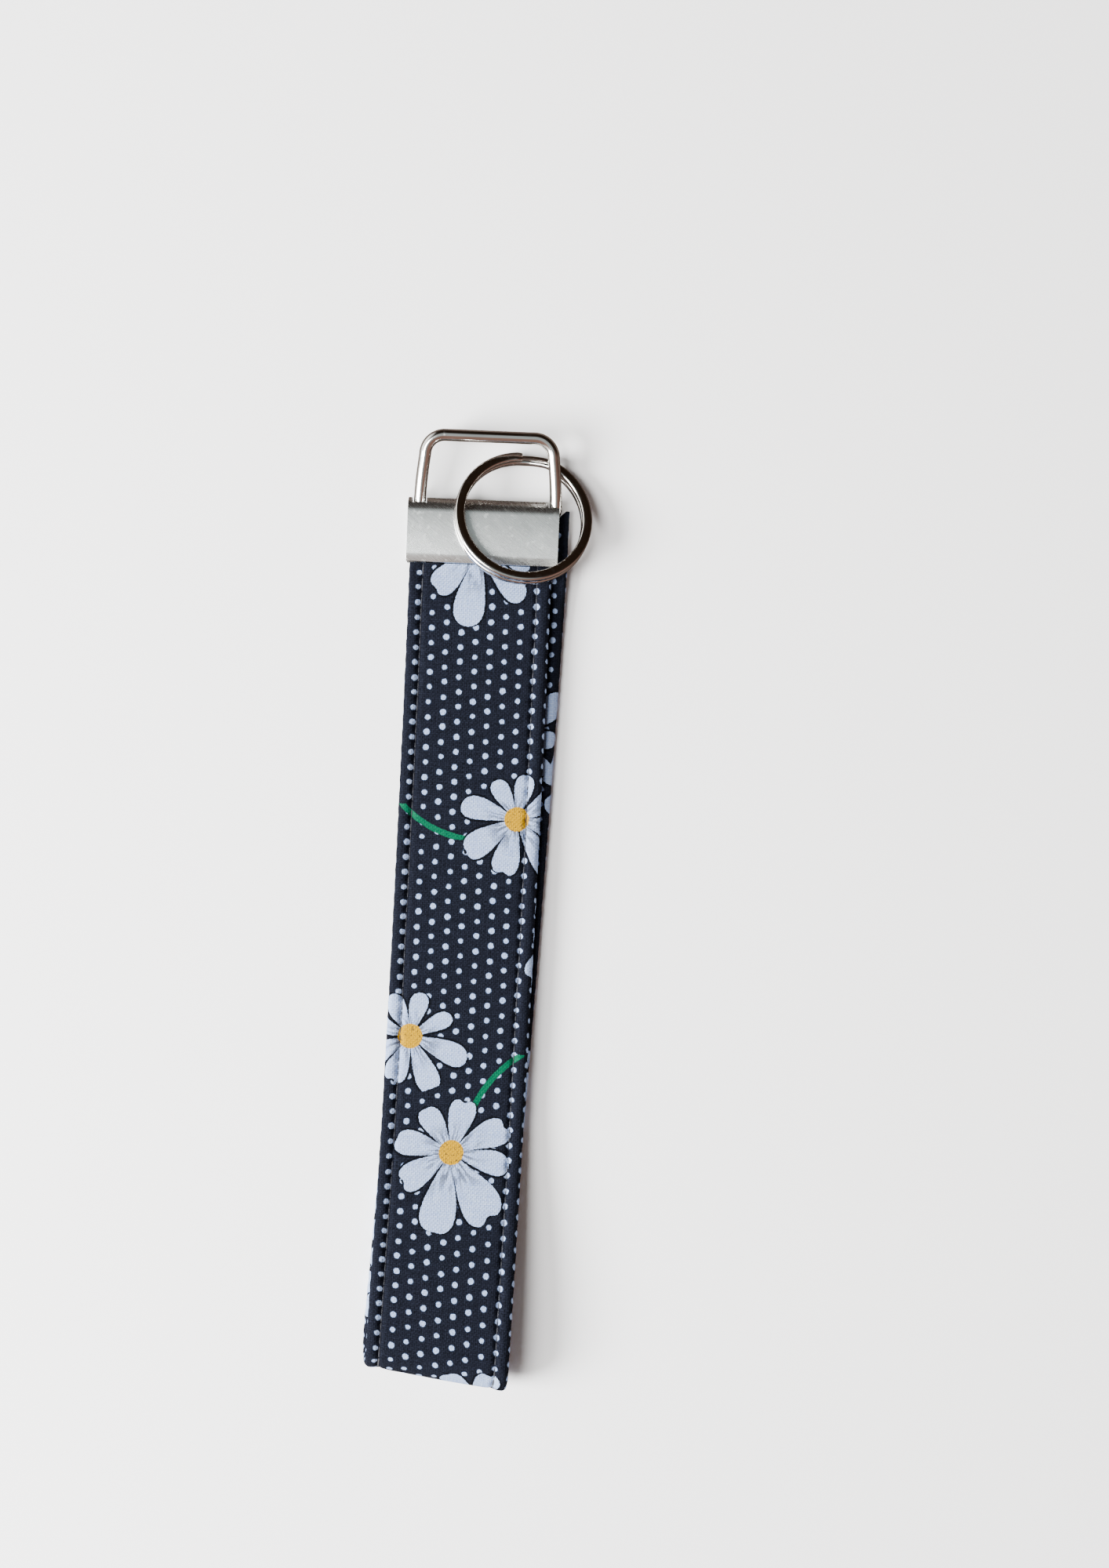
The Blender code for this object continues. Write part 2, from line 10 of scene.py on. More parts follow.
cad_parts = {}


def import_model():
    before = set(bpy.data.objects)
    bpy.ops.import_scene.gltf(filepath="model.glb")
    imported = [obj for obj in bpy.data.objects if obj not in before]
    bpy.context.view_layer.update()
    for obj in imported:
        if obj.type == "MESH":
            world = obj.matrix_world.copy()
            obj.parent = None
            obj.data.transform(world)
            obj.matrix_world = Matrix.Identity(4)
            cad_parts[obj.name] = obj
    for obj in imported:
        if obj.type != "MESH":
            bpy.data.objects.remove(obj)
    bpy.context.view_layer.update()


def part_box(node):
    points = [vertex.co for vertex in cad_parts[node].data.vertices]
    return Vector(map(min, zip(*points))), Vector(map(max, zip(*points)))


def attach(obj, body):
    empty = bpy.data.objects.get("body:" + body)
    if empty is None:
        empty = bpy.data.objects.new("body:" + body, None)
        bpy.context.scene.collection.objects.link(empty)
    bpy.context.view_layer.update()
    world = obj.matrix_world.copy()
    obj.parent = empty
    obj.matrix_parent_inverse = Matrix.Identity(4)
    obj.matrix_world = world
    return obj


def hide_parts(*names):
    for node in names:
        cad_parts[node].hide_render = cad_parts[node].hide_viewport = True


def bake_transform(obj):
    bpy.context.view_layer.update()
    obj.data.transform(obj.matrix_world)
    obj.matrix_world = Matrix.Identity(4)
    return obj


bl_info = {
    "name": "Wristlet Keychain",
    "version": (1, 0, 0),
    "blender": (4, 5, 0),
    "location": "3D View > Sidebar > Keychain",
    "description": "Dresses the packed parts of a cotton wristlet keychain in cloth, thread and nickel",
    "category": "Object",
}

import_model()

MM = 0.001

# The clamp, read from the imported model. Places below are measured from the middle of its mouth.
clamp_low, clamp_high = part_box("clamp")
ORIGIN = Vector(((clamp_low[0] + clamp_high[0]) / 2, clamp_low[1], 0.0))
CLAMP_WIDTH = clamp_high[0] - clamp_low[0]
CLAMP_LENGTH = clamp_high[1] - clamp_low[1]
CLAMP_THICKNESS = clamp_high[2] - clamp_low[2]
SHEET = 0.8 * MM
SHEET_ROUNDING = 0.14 * MM
LIP_LENGTH = 1.5 * MM
LIP_DROP = 0.45 * MM
TOOTH_PITCH = 3.2 * MM
TOOTH_DEPTH = 0.3 * MM
PIVOT_Y = CLAMP_LENGTH - CLAMP_THICKNESS / 2
PIVOT_Z = CLAMP_THICKNESS / 2
CLAMP_HALF_INSIDE = CLAMP_THICKNESS / 2 - SHEET

# The bail and the split ring.
WIRE = 2.1 * MM
BAIL_FOOT_WIDTH = 25.8 * MM
BAIL_TOP_WIDTH = 24.4 * MM
BAIL_RISE = 12.0 * MM
BAIL_CORNER = 4.4 * MM
BAIL_ASIDE = 0.6 * MM
BAIL_BOW = 0.12 * MM
HOOK_LENGTH = 4.2 * MM
HOOK_BEND = 1.5 * MM
BAIL_END_SIZES = (0.8, 0.95, 1.0)
BAIL_TILT = math.atan2(1.6, 8.8)
BAIL_SWING = math.radians(60.0)
NOTCH_CLEARANCE = 0.25 * MM
NOTCH_EAR_MIN = 0.4 * MM
RING_CENTRE = Vector((6.868, 8.151, 5.318)) * MM
RING_LEAN = math.radians(20.02)
RING_DOWNHILL = math.radians(62.0)
RING_RADIUS = 11.15 * MM
RING_WIRE_WIDTH = 1.7 * MM
RING_WIRE_HEIGHT = 1.25 * MM
RING_COIL_GAP = 0.1 * MM
RING_SQUARENESS = 0.55
RING_END_SIZES = (0.82, 0.95, 1.0)
RING_STEP_AT = math.radians(75.0)
RING_STEP_SPAN = math.radians(16.0)

# The strap: its run from the front mouth, round the fold, to the back mouth.
STRAP_WIDTH = 24.7 * MM
STRAP_LENGTH = 141.4 * MM
LAYER = 2.0 * MM
SLEEVE_WALL = 0.55 * MM
CORE_CLEARANCE = 0.15 * MM
LAYER_GAP = 0.2 * MM
BACK_Z = 1.02 * MM
FRONT_Z = 3.22 * MM
FOLD_RADIUS = 3.5 * MM
FOLD_OUTER = FOLD_RADIUS + LAYER / 2
FOLD_Z = BACK_Z + FOLD_RADIUS
FOLD_TOP_Z = FOLD_Z + FOLD_RADIUS
FOLD_RISE_LENGTH = 45.0 * MM
FOLD_SLANT = 0.14
SLANT_LENGTH = 30.0 * MM
FRONT_SHIFT = -0.2 * MM
STRAP_DRIFT = 1.7 * MM
STRAP_BOW = 0.15 * MM
BACK_SHIFT_AT_CLAMP = 2.7 * MM
BACK_SHIFT_AT_FOLD = -1.0 * MM
STRAIGHT = STRAP_LENGTH - FOLD_OUTER
HALF = STRAP_LENGTH / 2
FOLD_RUN = math.pi * FOLD_OUTER
BACK_MOUTH = 2 * STRAIGHT + FOLD_RUN
GRIP_LAYER = 1.6 * MM
PINCH_LAYER = 0.9 * MM
PINCH_GAP = 0.14 * MM
PINCH_LENGTH = 8.0 * MM
GRIP_CLEARANCE = 0.15 * MM
TAIL_RAMP = 1.4 * MM
TAIL_END = PIVOT_Y - WIRE / 2 - 0.5 * MM
MOUTH_GAP = 0.1 * MM
TAIL_GAP = 0.4 * MM
SEAM_X = 9.95 * MM
END_STITCH_Y = TAIL_END - 1.3 * MM
SELVEDGE_RUN = 2.9 * MM
BAIL_SIDE = BAIL_ASIDE + BAIL_FOOT_WIDTH / 2 + 0.15 * MM

# The cloth's relief: the seam's groove, the pucker beside it, and how flat the face stays.
SEAM_LEVEL = 0.85
SEAM_SHOULDER = 0.9 * MM
FACE_LEVEL = 0.97
GROOVE_HALF = 0.42 * MM
GROOVE_EVEN = 0.62
GROOVE_BEAT = 0.22
PUCKER = 0.045 * MM
PUCKER_HALF = 1.5 * MM
SEAM_WANDER = 0.12 * MM
EDGE_SWELL = 0.05 * MM
EDGE_BEAT = 0.03 * MM

# How finely the strap's skin is divided.
ROW_STEP = 0.62 * MM
FACE_LANES = (0.0, 0.12, 0.25, 0.38, 0.5, 0.62, 0.73, 0.82, 0.885, 0.925, 0.955, 0.98, 1.0)
ROLL_LANES = (0.15, 0.35, 0.6, 0.8, 1.0)
EDGE_STEPS = 9


# ---- settings --------------------------------------------------------------------------------------------


def length(name, description, default):
    return FloatProperty(
        name=name, description=description, default=default, min=0.0, precision=5,
        subtype="DISTANCE", unit="LENGTH",
    )


def colour(name, description, default):
    return FloatVectorProperty(
        name=name, description=description, default=default, size=3, min=0.0, max=1.0, subtype="COLOR",
    )


def power(name, description, default):
    return FloatProperty(name=name, description=description, default=default, min=0.0, unit="POWER")


class WRISTLET_PG_cloth(bpy.types.PropertyGroup):
    """The printed cotton cover and its filling."""

    puff: length("Puff", "How far the cloth wanders in and out of its even shape", 0.06 * MM)
    seam_depth: length("Seam Depth", "How deep the topstitching pulls the cloth in", 0.62 * MM)
    dot_size: length("Dot Size", "Diameter of a printed dot", 0.94 * MM)
    dot_across: length("Dot Spacing Across", "Distance between columns of dots", 2.57 * MM)
    dot_along: length("Dot Spacing Along", "Distance between the dots of one column", 2.6 * MM)
    yarn: length("Yarn Spacing", "Distance between two yarns of the weave", 0.36 * MM)
    ground: colour("Ground", "Dyed ground of the print", (0.0016, 0.0020, 0.0038))
    white: colour("White", "Dots and petals", (0.25, 0.33, 0.53))
    yellow: colour("Yellow", "Middle of each flower", (0.40, 0.215, 0.001))
    green: colour("Green", "Flower stems", (0.0005, 0.095, 0.045))
    felt: colour("Felt", "Interfacing inside the cover", (0.80, 0.79, 0.75))


class WRISTLET_PG_thread(bpy.types.PropertyGroup):
    """The topstitching."""

    thickness: length("Thickness", "Diameter of the thread", 0.3 * MM)
    stitch: length("Stitch Length", "Distance from one needle hole to the next", 2.6 * MM)
    tint: colour("Colour", "Colour of the thread", (0.010, 0.011, 0.018))


class WRISTLET_PG_metal(bpy.types.PropertyGroup):
    """The clamp, the bail and the split ring."""

    clamp_tint: colour("Clamp", "Brushed nickel of the clamp", (0.62, 0.64, 0.63))
    wire_tint: colour("Wire", "Polished nickel of the bail", (0.74, 0.72, 0.69))
    ring_tint: colour("Ring", "Polished nickel of the ring", (0.72, 0.69, 0.66))
    clamp_roughness: FloatProperty(
        name="Clamp Roughness", description="How satin the clamp is",
        default=0.20, min=0.0, max=1.0, subtype="FACTOR",
    )
    wire_roughness: FloatProperty(
        name="Wire Roughness", description="How satin the wires are",
        default=0.13, min=0.0, max=1.0, subtype="FACTOR",
    )
    wire_sides: IntProperty(
        name="Wire Sides", description="Faces round the bail's wire", default=28, min=8, max=64,
    )


class WRISTLET_PG_stage(bpy.types.PropertyGroup):
    """The floor, the lights and the camera."""

    floor_tint: colour("Floor", "Pale floor under the keychain", (0.97, 0.97, 0.97))
    camera_height: length("Camera Height", "Height of the camera above the floor", 450.0 * MM)
    key_power: power("Key Light", "Power of the low light on the left", 26.0)
    fill_power: power("Fill Light", "Power of the high light", 16.0)


# ---- node trees ------------------------------------------------------------------------------------------


class Graph:
    """Writes a node tree. An input is either a socket to link or a value to set."""

    def __init__(self, tree):
        self.tree = tree

    def feed(self, socket, value):
        if isinstance(value, bpy.types.NodeSocket):
            self.tree.links.new(value, socket)
        elif value is not None:
            socket.default_value = value

    def node(self, kind, settings=None, **inputs):
        made = self.tree.nodes.new(kind)
        for key, value in (settings or {}).items():
            setattr(made, key, value)
        for key, value in inputs.items():
            self.feed(made.inputs[key.replace("_", " ")], value)
        return made

    def math(self, operation, *values):
        made = self.tree.nodes.new("ShaderNodeMath")
        made.operation = operation
        for socket, value in zip(made.inputs, values):
            self.feed(socket, value)
        return made.outputs[0]

    def times(self, a, b):
        return self.math("MULTIPLY", a, b)

    def plus(self, a, b):
        return self.math("ADD", a, b)

    def minus(self, a, b):
        return self.math("SUBTRACT", a, b)

    def over(self, a, b):
        return self.math("DIVIDE", a, b)

    def vector(self, operation, *values):
        made = self.tree.nodes.new("ShaderNodeVectorMath")
        made.operation = operation
        names = {"SCALE": (0, 3)}.get(operation, (0, 1, 2))
        for index, value in zip(names, values):
            self.feed(made.inputs[index], value)
        return made.outputs[1 if operation in ("DISTANCE", "LENGTH") else 0]

    def blend(self, share, low, high, kind="RGBA"):
        made = self.tree.nodes.new("ShaderNodeMix")
        made.data_type = kind
        first, out = {"FLOAT": (2, 0), "VECTOR": (4, 1), "RGBA": (6, 2)}[kind]
        self.feed(made.inputs[0], share)
        self.feed(made.inputs[first], low)
        self.feed(made.inputs[first + 1], high)
        return made.outputs[out]

    def step(self, value, start, end, low=0.0, high=1.0):
        """Goes smoothly from low to high as value goes from start to end."""
        made = self.tree.nodes.new("ShaderNodeMapRange")
        made.interpolation_type = "SMOOTHSTEP"
        for index, each in enumerate((value, start, end, low, high)):
            self.feed(made.inputs[index], each)
        return made.outputs[0]

    def cloud(self, place, scale, detail=2.0, roughness=0.5):
        made = self.node("ShaderNodeTexNoise", Vector=place, Scale=scale, Detail=detail, Roughness=roughness)
        return made.outputs[0]

    def parts(self, vector):
        return self.node("ShaderNodeSeparateXYZ", Vector=vector).outputs

    def join(self, x, y, z=0.0):
        return self.node("ShaderNodeCombineXYZ", X=x, Y=y, Z=z).outputs[0]


def rgba(tint, scale=1.0):
    return (*(c * scale for c in tint), 1.0)


def new_material(name):
    """(material, its graph, its Principled node)"""
    made = bpy.data.materials.new(name)
    made.use_nodes = True
    return made, Graph(made.node_tree), made.node_tree.nodes["Principled BSDF"]


def finish_surface(graph, shader, base, roughness, height, depth, strength=1.0):
    """Links a pattern to the shader. height runs from 0 to 1 and stands depth metres high."""
    graph.feed(shader.inputs["Base Color"], base)
    graph.feed(shader.inputs["Roughness"], roughness)
    bump = graph.node("ShaderNodeBump", Strength=strength, Distance=depth, Height=height)
    graph.feed(shader.inputs["Normal"], bump.outputs[0])


# The flowers of the print: (across, along, reach) in millimetres on the strip. Along runs from the front
# mouth over the fold to the back mouth, and across runs on round the edges onto the inner face.
FLOWERS = (
    (-0.2, -2.6, 12.4), (8.3, 44.0, 12.6), (-8.2, 82.3, 10.8), (0.1, 102.2, 12.8), (7.4, 147.5, 12.0),
    (-20.0, 21.5, 9.5), (20.5, 64.0, 11.0), (-21.0, 118.0, 10.5), (21.5, 128.0, 10.0),
    (-7.0, 172.0, 11.5), (5.5, 196.0, 12.5), (-6.5, 222.0, 11.0), (6.0, 250.0, 12.0), (-5.0, 278.0, 11.5),
    (-19.0, 162.0, 11.0), (21.5, 203.0, 11.0), (21.5, 258.0, 12.0), (-20.5, 240.0, 10.0),
)
# The stems, each an arc through three places on the strip.
STEMS = (
    ((-11.7, 42.1), (-4.9, 46.6), (2.2, 47.9)),
    ((11.3, 84.8), (5.6, 90.3), (2.3, 98.4)),
    ((-13.4, 186.0), (-11.0, 181.0), (-9.0, 177.0)),
    ((5.0, 205.0), (1.0, 211.0), (-3.5, 215.5)),
    ((4.0, 259.0), (0.5, 265.0), (-2.0, 271.0)),
)
STEM_WIDTH = 1.0
STEM_SPARE = 0.6
PETALS = 8
DISC = 2.15
FLOWER_TURN = 1.7
PETAL_LENGTH = 0.68
PETAL_LENGTH_SPREAD = 0.30
PETAL_WIDTH = 0.265
PETAL_WIDTH_SPREAD = 0.11
PETAL_LEAN_SPREAD = 0.2
PETAL_DROP = 0.17
NOTCH_WIDTH = 0.09
NOTCH_DEPTH = 0.09
FIRST_DOT = (-2.85, 9.3)
COLUMN_STEP = 0.38
DOT_WANDER = 0.16
DOT_SIZE_SPREAD = 0.12
INK_SPREAD = 0.30
EDGE_BLUR = 0.06


def circle_through(a, b, c):
    """(middle, radius) of the circle through three places."""
    d = 2 * (a[0] * (b[1] - c[1]) + b[0] * (c[1] - a[1]) + c[0] * (a[1] - b[1]))
    sa, sb, sc = (p[0] ** 2 + p[1] ** 2 for p in (a, b, c))
    x = (sa * (b[1] - c[1]) + sb * (c[1] - a[1]) + sc * (a[1] - b[1])) / d
    y = (sa * (c[0] - b[0]) + sb * (a[0] - c[0]) + sc * (b[0] - a[0])) / d
    return (x, y), math.hypot(a[0] - x, a[1] - y)


def dots(g, across, along, cloth):
    """(ink, halo) of the dots: columns that step up to the right."""
    pitch = cloth.dot_across / MM
    rise = cloth.dot_along / MM
    radius = cloth.dot_size / MM / 2
    column = g.over(g.minus(across, FIRST_DOT[0]), pitch)
    number = g.math("ROUND", column)
    aside = g.times(g.minus(column, number), pitch)
    shifted = g.plus(g.minus(along, FIRST_DOT[1]), g.times(number, COLUMN_STEP * rise))
    row = g.over(shifted, rise)
    row_number = g.math("ROUND", row)
    ahead = g.times(g.minus(row, row_number), rise)
    chance = g.node("ShaderNodeTexWhiteNoise", {"noise_dimensions": "2D"}, Vector=g.join(number, row_number))
    x, y, z = g.parts(chance.outputs["Color"])
    aside = g.plus(aside, g.times(g.minus(x, 0.5), DOT_WANDER))
    ahead = g.plus(ahead, g.times(g.minus(y, 0.5), DOT_WANDER))
    away = g.vector("LENGTH", g.join(aside, ahead))
    size = g.plus(g.times(z, DOT_SIZE_SPREAD), radius - DOT_SIZE_SPREAD / 2)
    beyond = g.minus(away, size)
    return g.step(beyond, 0.05, -0.05), g.step(beyond, 0.22, 0.0)


def nearest_flower(g, place):
    """The middle of the nearest flower, with its reach in z."""
    best = 99.0
    chosen = (0.0, 0.0, 10.0)
    for across, along, reach in FLOWERS:
        away = g.over(g.vector("DISTANCE", place, (across, along, 0.0)), reach)
        nearer = g.math("LESS_THAN", away, best)
        chosen = g.blend(nearer, chosen, (across, along, reach), "VECTOR")
        best = g.math("MINIMUM", away, best)
    return chosen


def flower(g, place):
    """(petal, margin, disc, shade) of the nearest flower."""
    chosen = nearest_flower(g, place)
    cx, cy, reach = g.parts(chosen)
    local = g.vector("SUBTRACT", place, g.join(cx, cy))
    turned = g.node("ShaderNodeVectorRotate", {"rotation_type": "Z_AXIS"}, Vector=local)
    g.feed(turned.inputs["Angle"], g.times(cy, FLOWER_TURN))
    x, y, _ = g.parts(turned.outputs[0])
    away = g.vector("LENGTH", g.join(x, y))
    turn = g.over(g.math("ARCTAN2", y, x), 2 * math.pi / PETALS)
    petal_number = g.math("FLOOR", turn)
    chance = g.node("ShaderNodeTexWhiteNoise", {"noise_dimensions": "2D"}, Vector=g.join(petal_number, cy))
    one, two, three = g.parts(chance.outputs["Color"])
    aside = g.minus(g.minus(turn, petal_number), 0.5)
    aside = g.plus(aside, g.times(g.minus(one, 0.5), PETAL_LEAN_SPREAD))
    angle = g.times(aside, 2 * math.pi / PETALS)
    along = g.times(away, g.math("COSINE", angle))
    side = g.math("ABSOLUTE", g.times(away, g.math("SINE", angle)))
    size = g.times(reach, g.plus(g.times(two, PETAL_LENGTH_SPREAD), PETAL_LENGTH))
    drop = g.over(g.parts(local)[1], g.math("MAXIMUM", away, 0.5))
    size = g.times(size, g.plus(g.times(drop, PETAL_DROP), 1.0))
    notch = g.over(side, g.times(size, NOTCH_WIDTH))
    notch = g.math("EXPONENT", g.times(g.times(notch, notch), -1.0))
    notch = g.times(notch, g.times(g.step(three, 0.35, 0.75), NOTCH_DEPTH))
    share = g.times(g.over(along, size), g.plus(notch, 1.0))
    inside = g.math("MAXIMUM", g.minus(1.0, g.math("POWER", share, 5.0)), 0.0)
    width = g.times(g.math("POWER", share, 0.85), g.math("SQRT", inside))
    width = g.times(width, g.times(size, g.plus(g.times(three, PETAL_WIDTH_SPREAD), PETAL_WIDTH)))
    depth = g.math("MINIMUM", g.minus(width, side), g.times(g.minus(1.0, share), size))
    petal = g.step(depth, -0.04, 0.07)
    margin = g.step(depth, -0.5, -0.3)
    disc = g.step(away, DISC + 0.08, DISC - 0.08)
    streaks = g.cloud(g.join(g.times(turn, 5.0), g.times(away, 0.35)), 1.0, 3.0)
    near = g.step(g.over(away, size), 0.72, 0.22)
    shade = g.times(g.step(streaks, 0.46, 0.58), near)
    return petal, margin, disc, shade


def stems(g, place):
    total = 0.0
    for first, middle, last in STEMS:
        centre, radius = circle_through(first, middle, last)
        off = g.math("ABSOLUTE", g.minus(g.vector("DISTANCE", place, (*centre, 0.0)), radius))
        line = g.step(off, STEM_WIDTH / 2 + EDGE_BLUR, STEM_WIDTH / 2 - EDGE_BLUR)
        for axis, spare in ((1, 0.0), (0, STEM_SPARE)):
            here = g.parts(place)[axis]
            low, high = sorted((first[axis], last[axis]))
            line = g.times(line, g.math("GREATER_THAN", here, low - spare))
            line = g.times(line, g.math("LESS_THAN", here, high + spare))
        total = g.math("MAXIMUM", total, line)
    return total


def weave(g, across, along, yarn):
    """(height, lengthways) of a plain weave: which yarn is on top alternates like a chessboard."""
    x = g.math("SINE", g.times(across, math.pi / yarn))
    y = g.math("SINE", g.times(along, math.pi / yarn))
    over = g.math("GREATER_THAN", g.times(x, y), 0.0)
    height = g.blend(over, g.math("ABSOLUTE", x), g.math("ABSOLUTE", y), "FLOAT")
    return height, over


def cotton_material(cloth):
    """Printed plain-weave cotton: dots, flowers and stems on a dark ground, with painted highlight on the
    yarn crowns and thicker yarns and painted shade in the weave's hollows.
    """
    made, g, shader = new_material("printed_cotton")
    strip = g.node("ShaderNodeUVMap", {"uv_map": "strip"}).outputs[0]
    place = g.vector("SCALE", strip, 100.0)
    rough_edge = g.node("ShaderNodeTexNoise", Vector=place, Scale=2.6, Detail=2.0).outputs["Color"]
    blur = g.vector("SCALE", g.vector("SUBTRACT", rough_edge, (0.5, 0.5, 0.5)), INK_SPREAD)
    printed = g.vector("MULTIPLY", g.vector("ADD", place, blur), (1.0, 1.0, 0.0))
    across, along, _ = g.parts(printed)
    true_across, true_along, _ = g.parts(place)
    dot, halo = dots(g, across, along, cloth)
    petal, margin, disc, shade = flower(g, printed)
    stem = stems(g, printed)
    height, over = weave(g, true_across, true_along, cloth.yarn / MM)
    slub_across = g.cloud(g.vector("MULTIPLY", place, (0.35, 5.5, 1.0)), 1.0, 2.0)
    slub_along = g.cloud(g.vector("MULTIPLY", place, (5.5, 0.35, 1.0)), 1.0, 2.0)
    slub = g.blend(over, slub_along, slub_across, "FLOAT")
    clear = g.minus(1.0, g.math("MAXIMUM", margin, stem))
    # Painted highlight: the thicker yarns are drawn lighter, as if they caught the light.
    slub_highlight = g.step(slub, 0.30, 0.75)
    ground = rgba(cloth.ground)
    # A lighter copy of the ground: painted highlight on the yarns, also the tone of random lighter fibres.
    yarn_highlight_and_fibre_ground = rgba([c * 5.0 + 0.0015 for c in cloth.ground])
    # Painted highlight on the crowns of the weave; the hollows keep the darker ground.
    tone = g.blend(g.times(slub_highlight, height), ground, yarn_highlight_and_fibre_ground)
    tone = g.blend(g.times(g.times(halo, clear), 0.5), tone, (0.016, 0.028, 0.062, 1.0))
    fibres = g.step(g.cloud(place, 3.1, 3.0, 0.7), 0.40, 0.62)
    tone = g.blend(g.times(fibres, 0.35), tone, yarn_highlight_and_fibre_ground)
    white = rgba(cloth.white)
    # A darker copy of the white: painted shade in the weave's hollows, also the tone of random darker fibres.
    hollow_shade_and_fibre_white = rgba([c * k for c, k in zip(cloth.white, (0.42, 0.50, 0.66))])
    # Painted shade in the hollows of the weave.
    pale = g.blend(g.times(g.minus(1.0, height), 0.75), white, hollow_shade_and_fibre_white)
    pale = g.blend(g.times(fibres, 0.45), pale, hollow_shade_and_fibre_white)
    # Painted highlight, warm, on the thicker yarns.
    pale = g.blend(g.times(slub_highlight, 0.6), pale, rgba([c * k for c, k in zip(cloth.white, (1.75, 1.60, 1.25))]))
    tone = g.blend(g.times(dot, clear), tone, pale)
    # A darker copy of the green: painted shade off the thicker yarns.
    green_in_painted_shade = rgba(cloth.green, 0.6)
    tone = g.blend(stem, tone, g.blend(slub_highlight, green_in_painted_shade, rgba(cloth.green)))
    outline = g.times(g.minus(margin, petal), 0.8)
    tone = g.blend(g.math("MAXIMUM", outline, 0.0), tone, rgba(cloth.ground, 0.55))
    petals = g.blend(g.times(shade, 0.9), pale, (0.06, 0.07, 0.10, 1.0))
    tone = g.blend(petal, tone, petals)
    specks = g.step(g.cloud(place, 2.1, 2.0), 0.58, 0.64)
    # Painted highlight: the yellow is lighter on the thicker yarns and a darker copy elsewhere.
    yellow = g.blend(slub_highlight, rgba(cloth.yellow, 0.8), rgba(cloth.yellow))
    tone = g.blend(disc, tone, g.blend(g.times(specks, 0.8), yellow, (0.05, 0.035, 0.02, 1.0)))
    fuzz = g.cloud(place, 9.0, 2.0)
    lift = g.plus(g.times(height, 0.75), g.times(fuzz, 0.25))
    finish_surface(g, shader, tone, g.step(slub, 0.2, 0.8, 0.95, 0.78), lift, 0.07 * MM, 0.75)
    shader.inputs["Specular IOR Level"].default_value = 0.05
    return made


def felt_material(cloth):
    """Pressed fibres."""
    made, g, shader = new_material("interfacing")
    place = g.node("ShaderNodeTexCoord").outputs["Object"]
    long_way = g.cloud(g.vector("MULTIPLY", place, (900.0, 4200.0, 2500.0)), 1.0, 4.0, 0.7)
    cross_way = g.cloud(g.vector("MULTIPLY", place, (4200.0, 900.0, 2500.0)), 1.0, 4.0, 0.7)
    fibres = g.math("MAXIMUM", long_way, cross_way)
    tone = g.blend(g.step(fibres, 0.4, 0.75), rgba(cloth.felt, 0.7), rgba(cloth.felt))
    finish_surface(g, shader, tone, 0.95, fibres, 0.1 * MM, 0.8)
    return made


def thread_material(thread):
    """Twisted sewing thread: plies that wind round the stitch, with painted shade between them and painted
    highlight on their crests.
    """
    made, g, shader = new_material("sewing_thread")
    place = g.node("ShaderNodeTexCoord").outputs["Object"]
    x, y, z = g.parts(place)
    wound = g.plus(g.times(y, 1.0), g.times(g.plus(x, z), 1.3))
    ply_relief_and_shade = g.math("ABSOLUTE", g.math("SINE", g.times(wound, math.pi / (0.16 * MM))))
    # Painted shade in the grooves between the plies, painted highlight on their crests.
    tone = g.blend(ply_relief_and_shade, rgba(thread.tint, 0.6), rgba([c * 2.0 + 0.004 for c in thread.tint]))
    finish_surface(g, shader, tone, 0.55, ply_relief_and_shade, 0.05 * MM, 0.8)
    shader.inputs["Sheen Weight"].default_value = 0.2
    return made


def metal_material(name, tint, roughness, brushed, smooth_past=None):
    """Nickel with fine scratches and duller specks, brushed on a slant where brushed is above zero.

    Past smooth_past, a distance along the strap, the brushing fades out.
    """
    made, g, shader = new_material(name)
    place = g.node("ShaderNodeTexCoord").outputs["Object"]
    slanted = g.node("ShaderNodeMapping", Vector=place, Rotation=(0.0, 0.0, math.radians(38.0)))
    lines = g.cloud(g.vector("MULTIPLY", slanted.outputs[0], (260.0, 7000.0, 2600.0)), 1.0, 3.0, 0.6)
    scuffs = g.cloud(g.vector("MULTIPLY", place, (900.0, 900.0, 900.0)), 1.0, 4.0, 0.65)
    specks = g.step(g.cloud(place, 3800.0, 2.0), 0.70, 0.76)
    patches = g.cloud(place, 170.0, 3.0)
    tone = g.blend(g.step(patches, 0.35, 0.7), rgba(tint, 0.9), rgba(tint))
    tone = g.blend(g.times(specks, 0.45 * min(1.0, brushed + 0.2)), tone, rgba(tint, 0.35))
    marks = g.times(g.step(scuffs, 0.55, 0.8), 0.14)
    rough = g.plus(g.times(lines, 0.14 * brushed), g.plus(marks, roughness))
    height = g.plus(g.times(lines, brushed), g.times(scuffs, 0.35))
    strength = 0.5
    if smooth_past is not None:
        strength = g.step(g.parts(place)[1], smooth_past, smooth_past + 0.6 * MM, 0.5, 0.05)
    finish_surface(g, shader, tone, rough, height, 0.004 * MM, strength)
    shader.inputs["Metallic"].default_value = 1.0
    return made


# ---- the strap's shape -----------------------------------------------------------------------------------


def smooth(t):
    t = min(max(t, 0.0), 1.0)
    return t * t * (3.0 - 2.0 * t)


def front_x(s):
    return FRONT_SHIFT - STRAP_DRIFT * (max(s, 0.0) / STRAP_LENGTH) ** 2


def back_x(s):
    share = max(s, 0.0) / STRAIGHT
    return front_x(s) + BACK_SHIFT_AT_CLAMP + (BACK_SHIFT_AT_FOLD - BACK_SHIFT_AT_CLAMP) * share


def layer_thickness(s):
    return PINCH_LAYER + (LAYER - PINCH_LAYER) * smooth(s / PINCH_LENGTH)


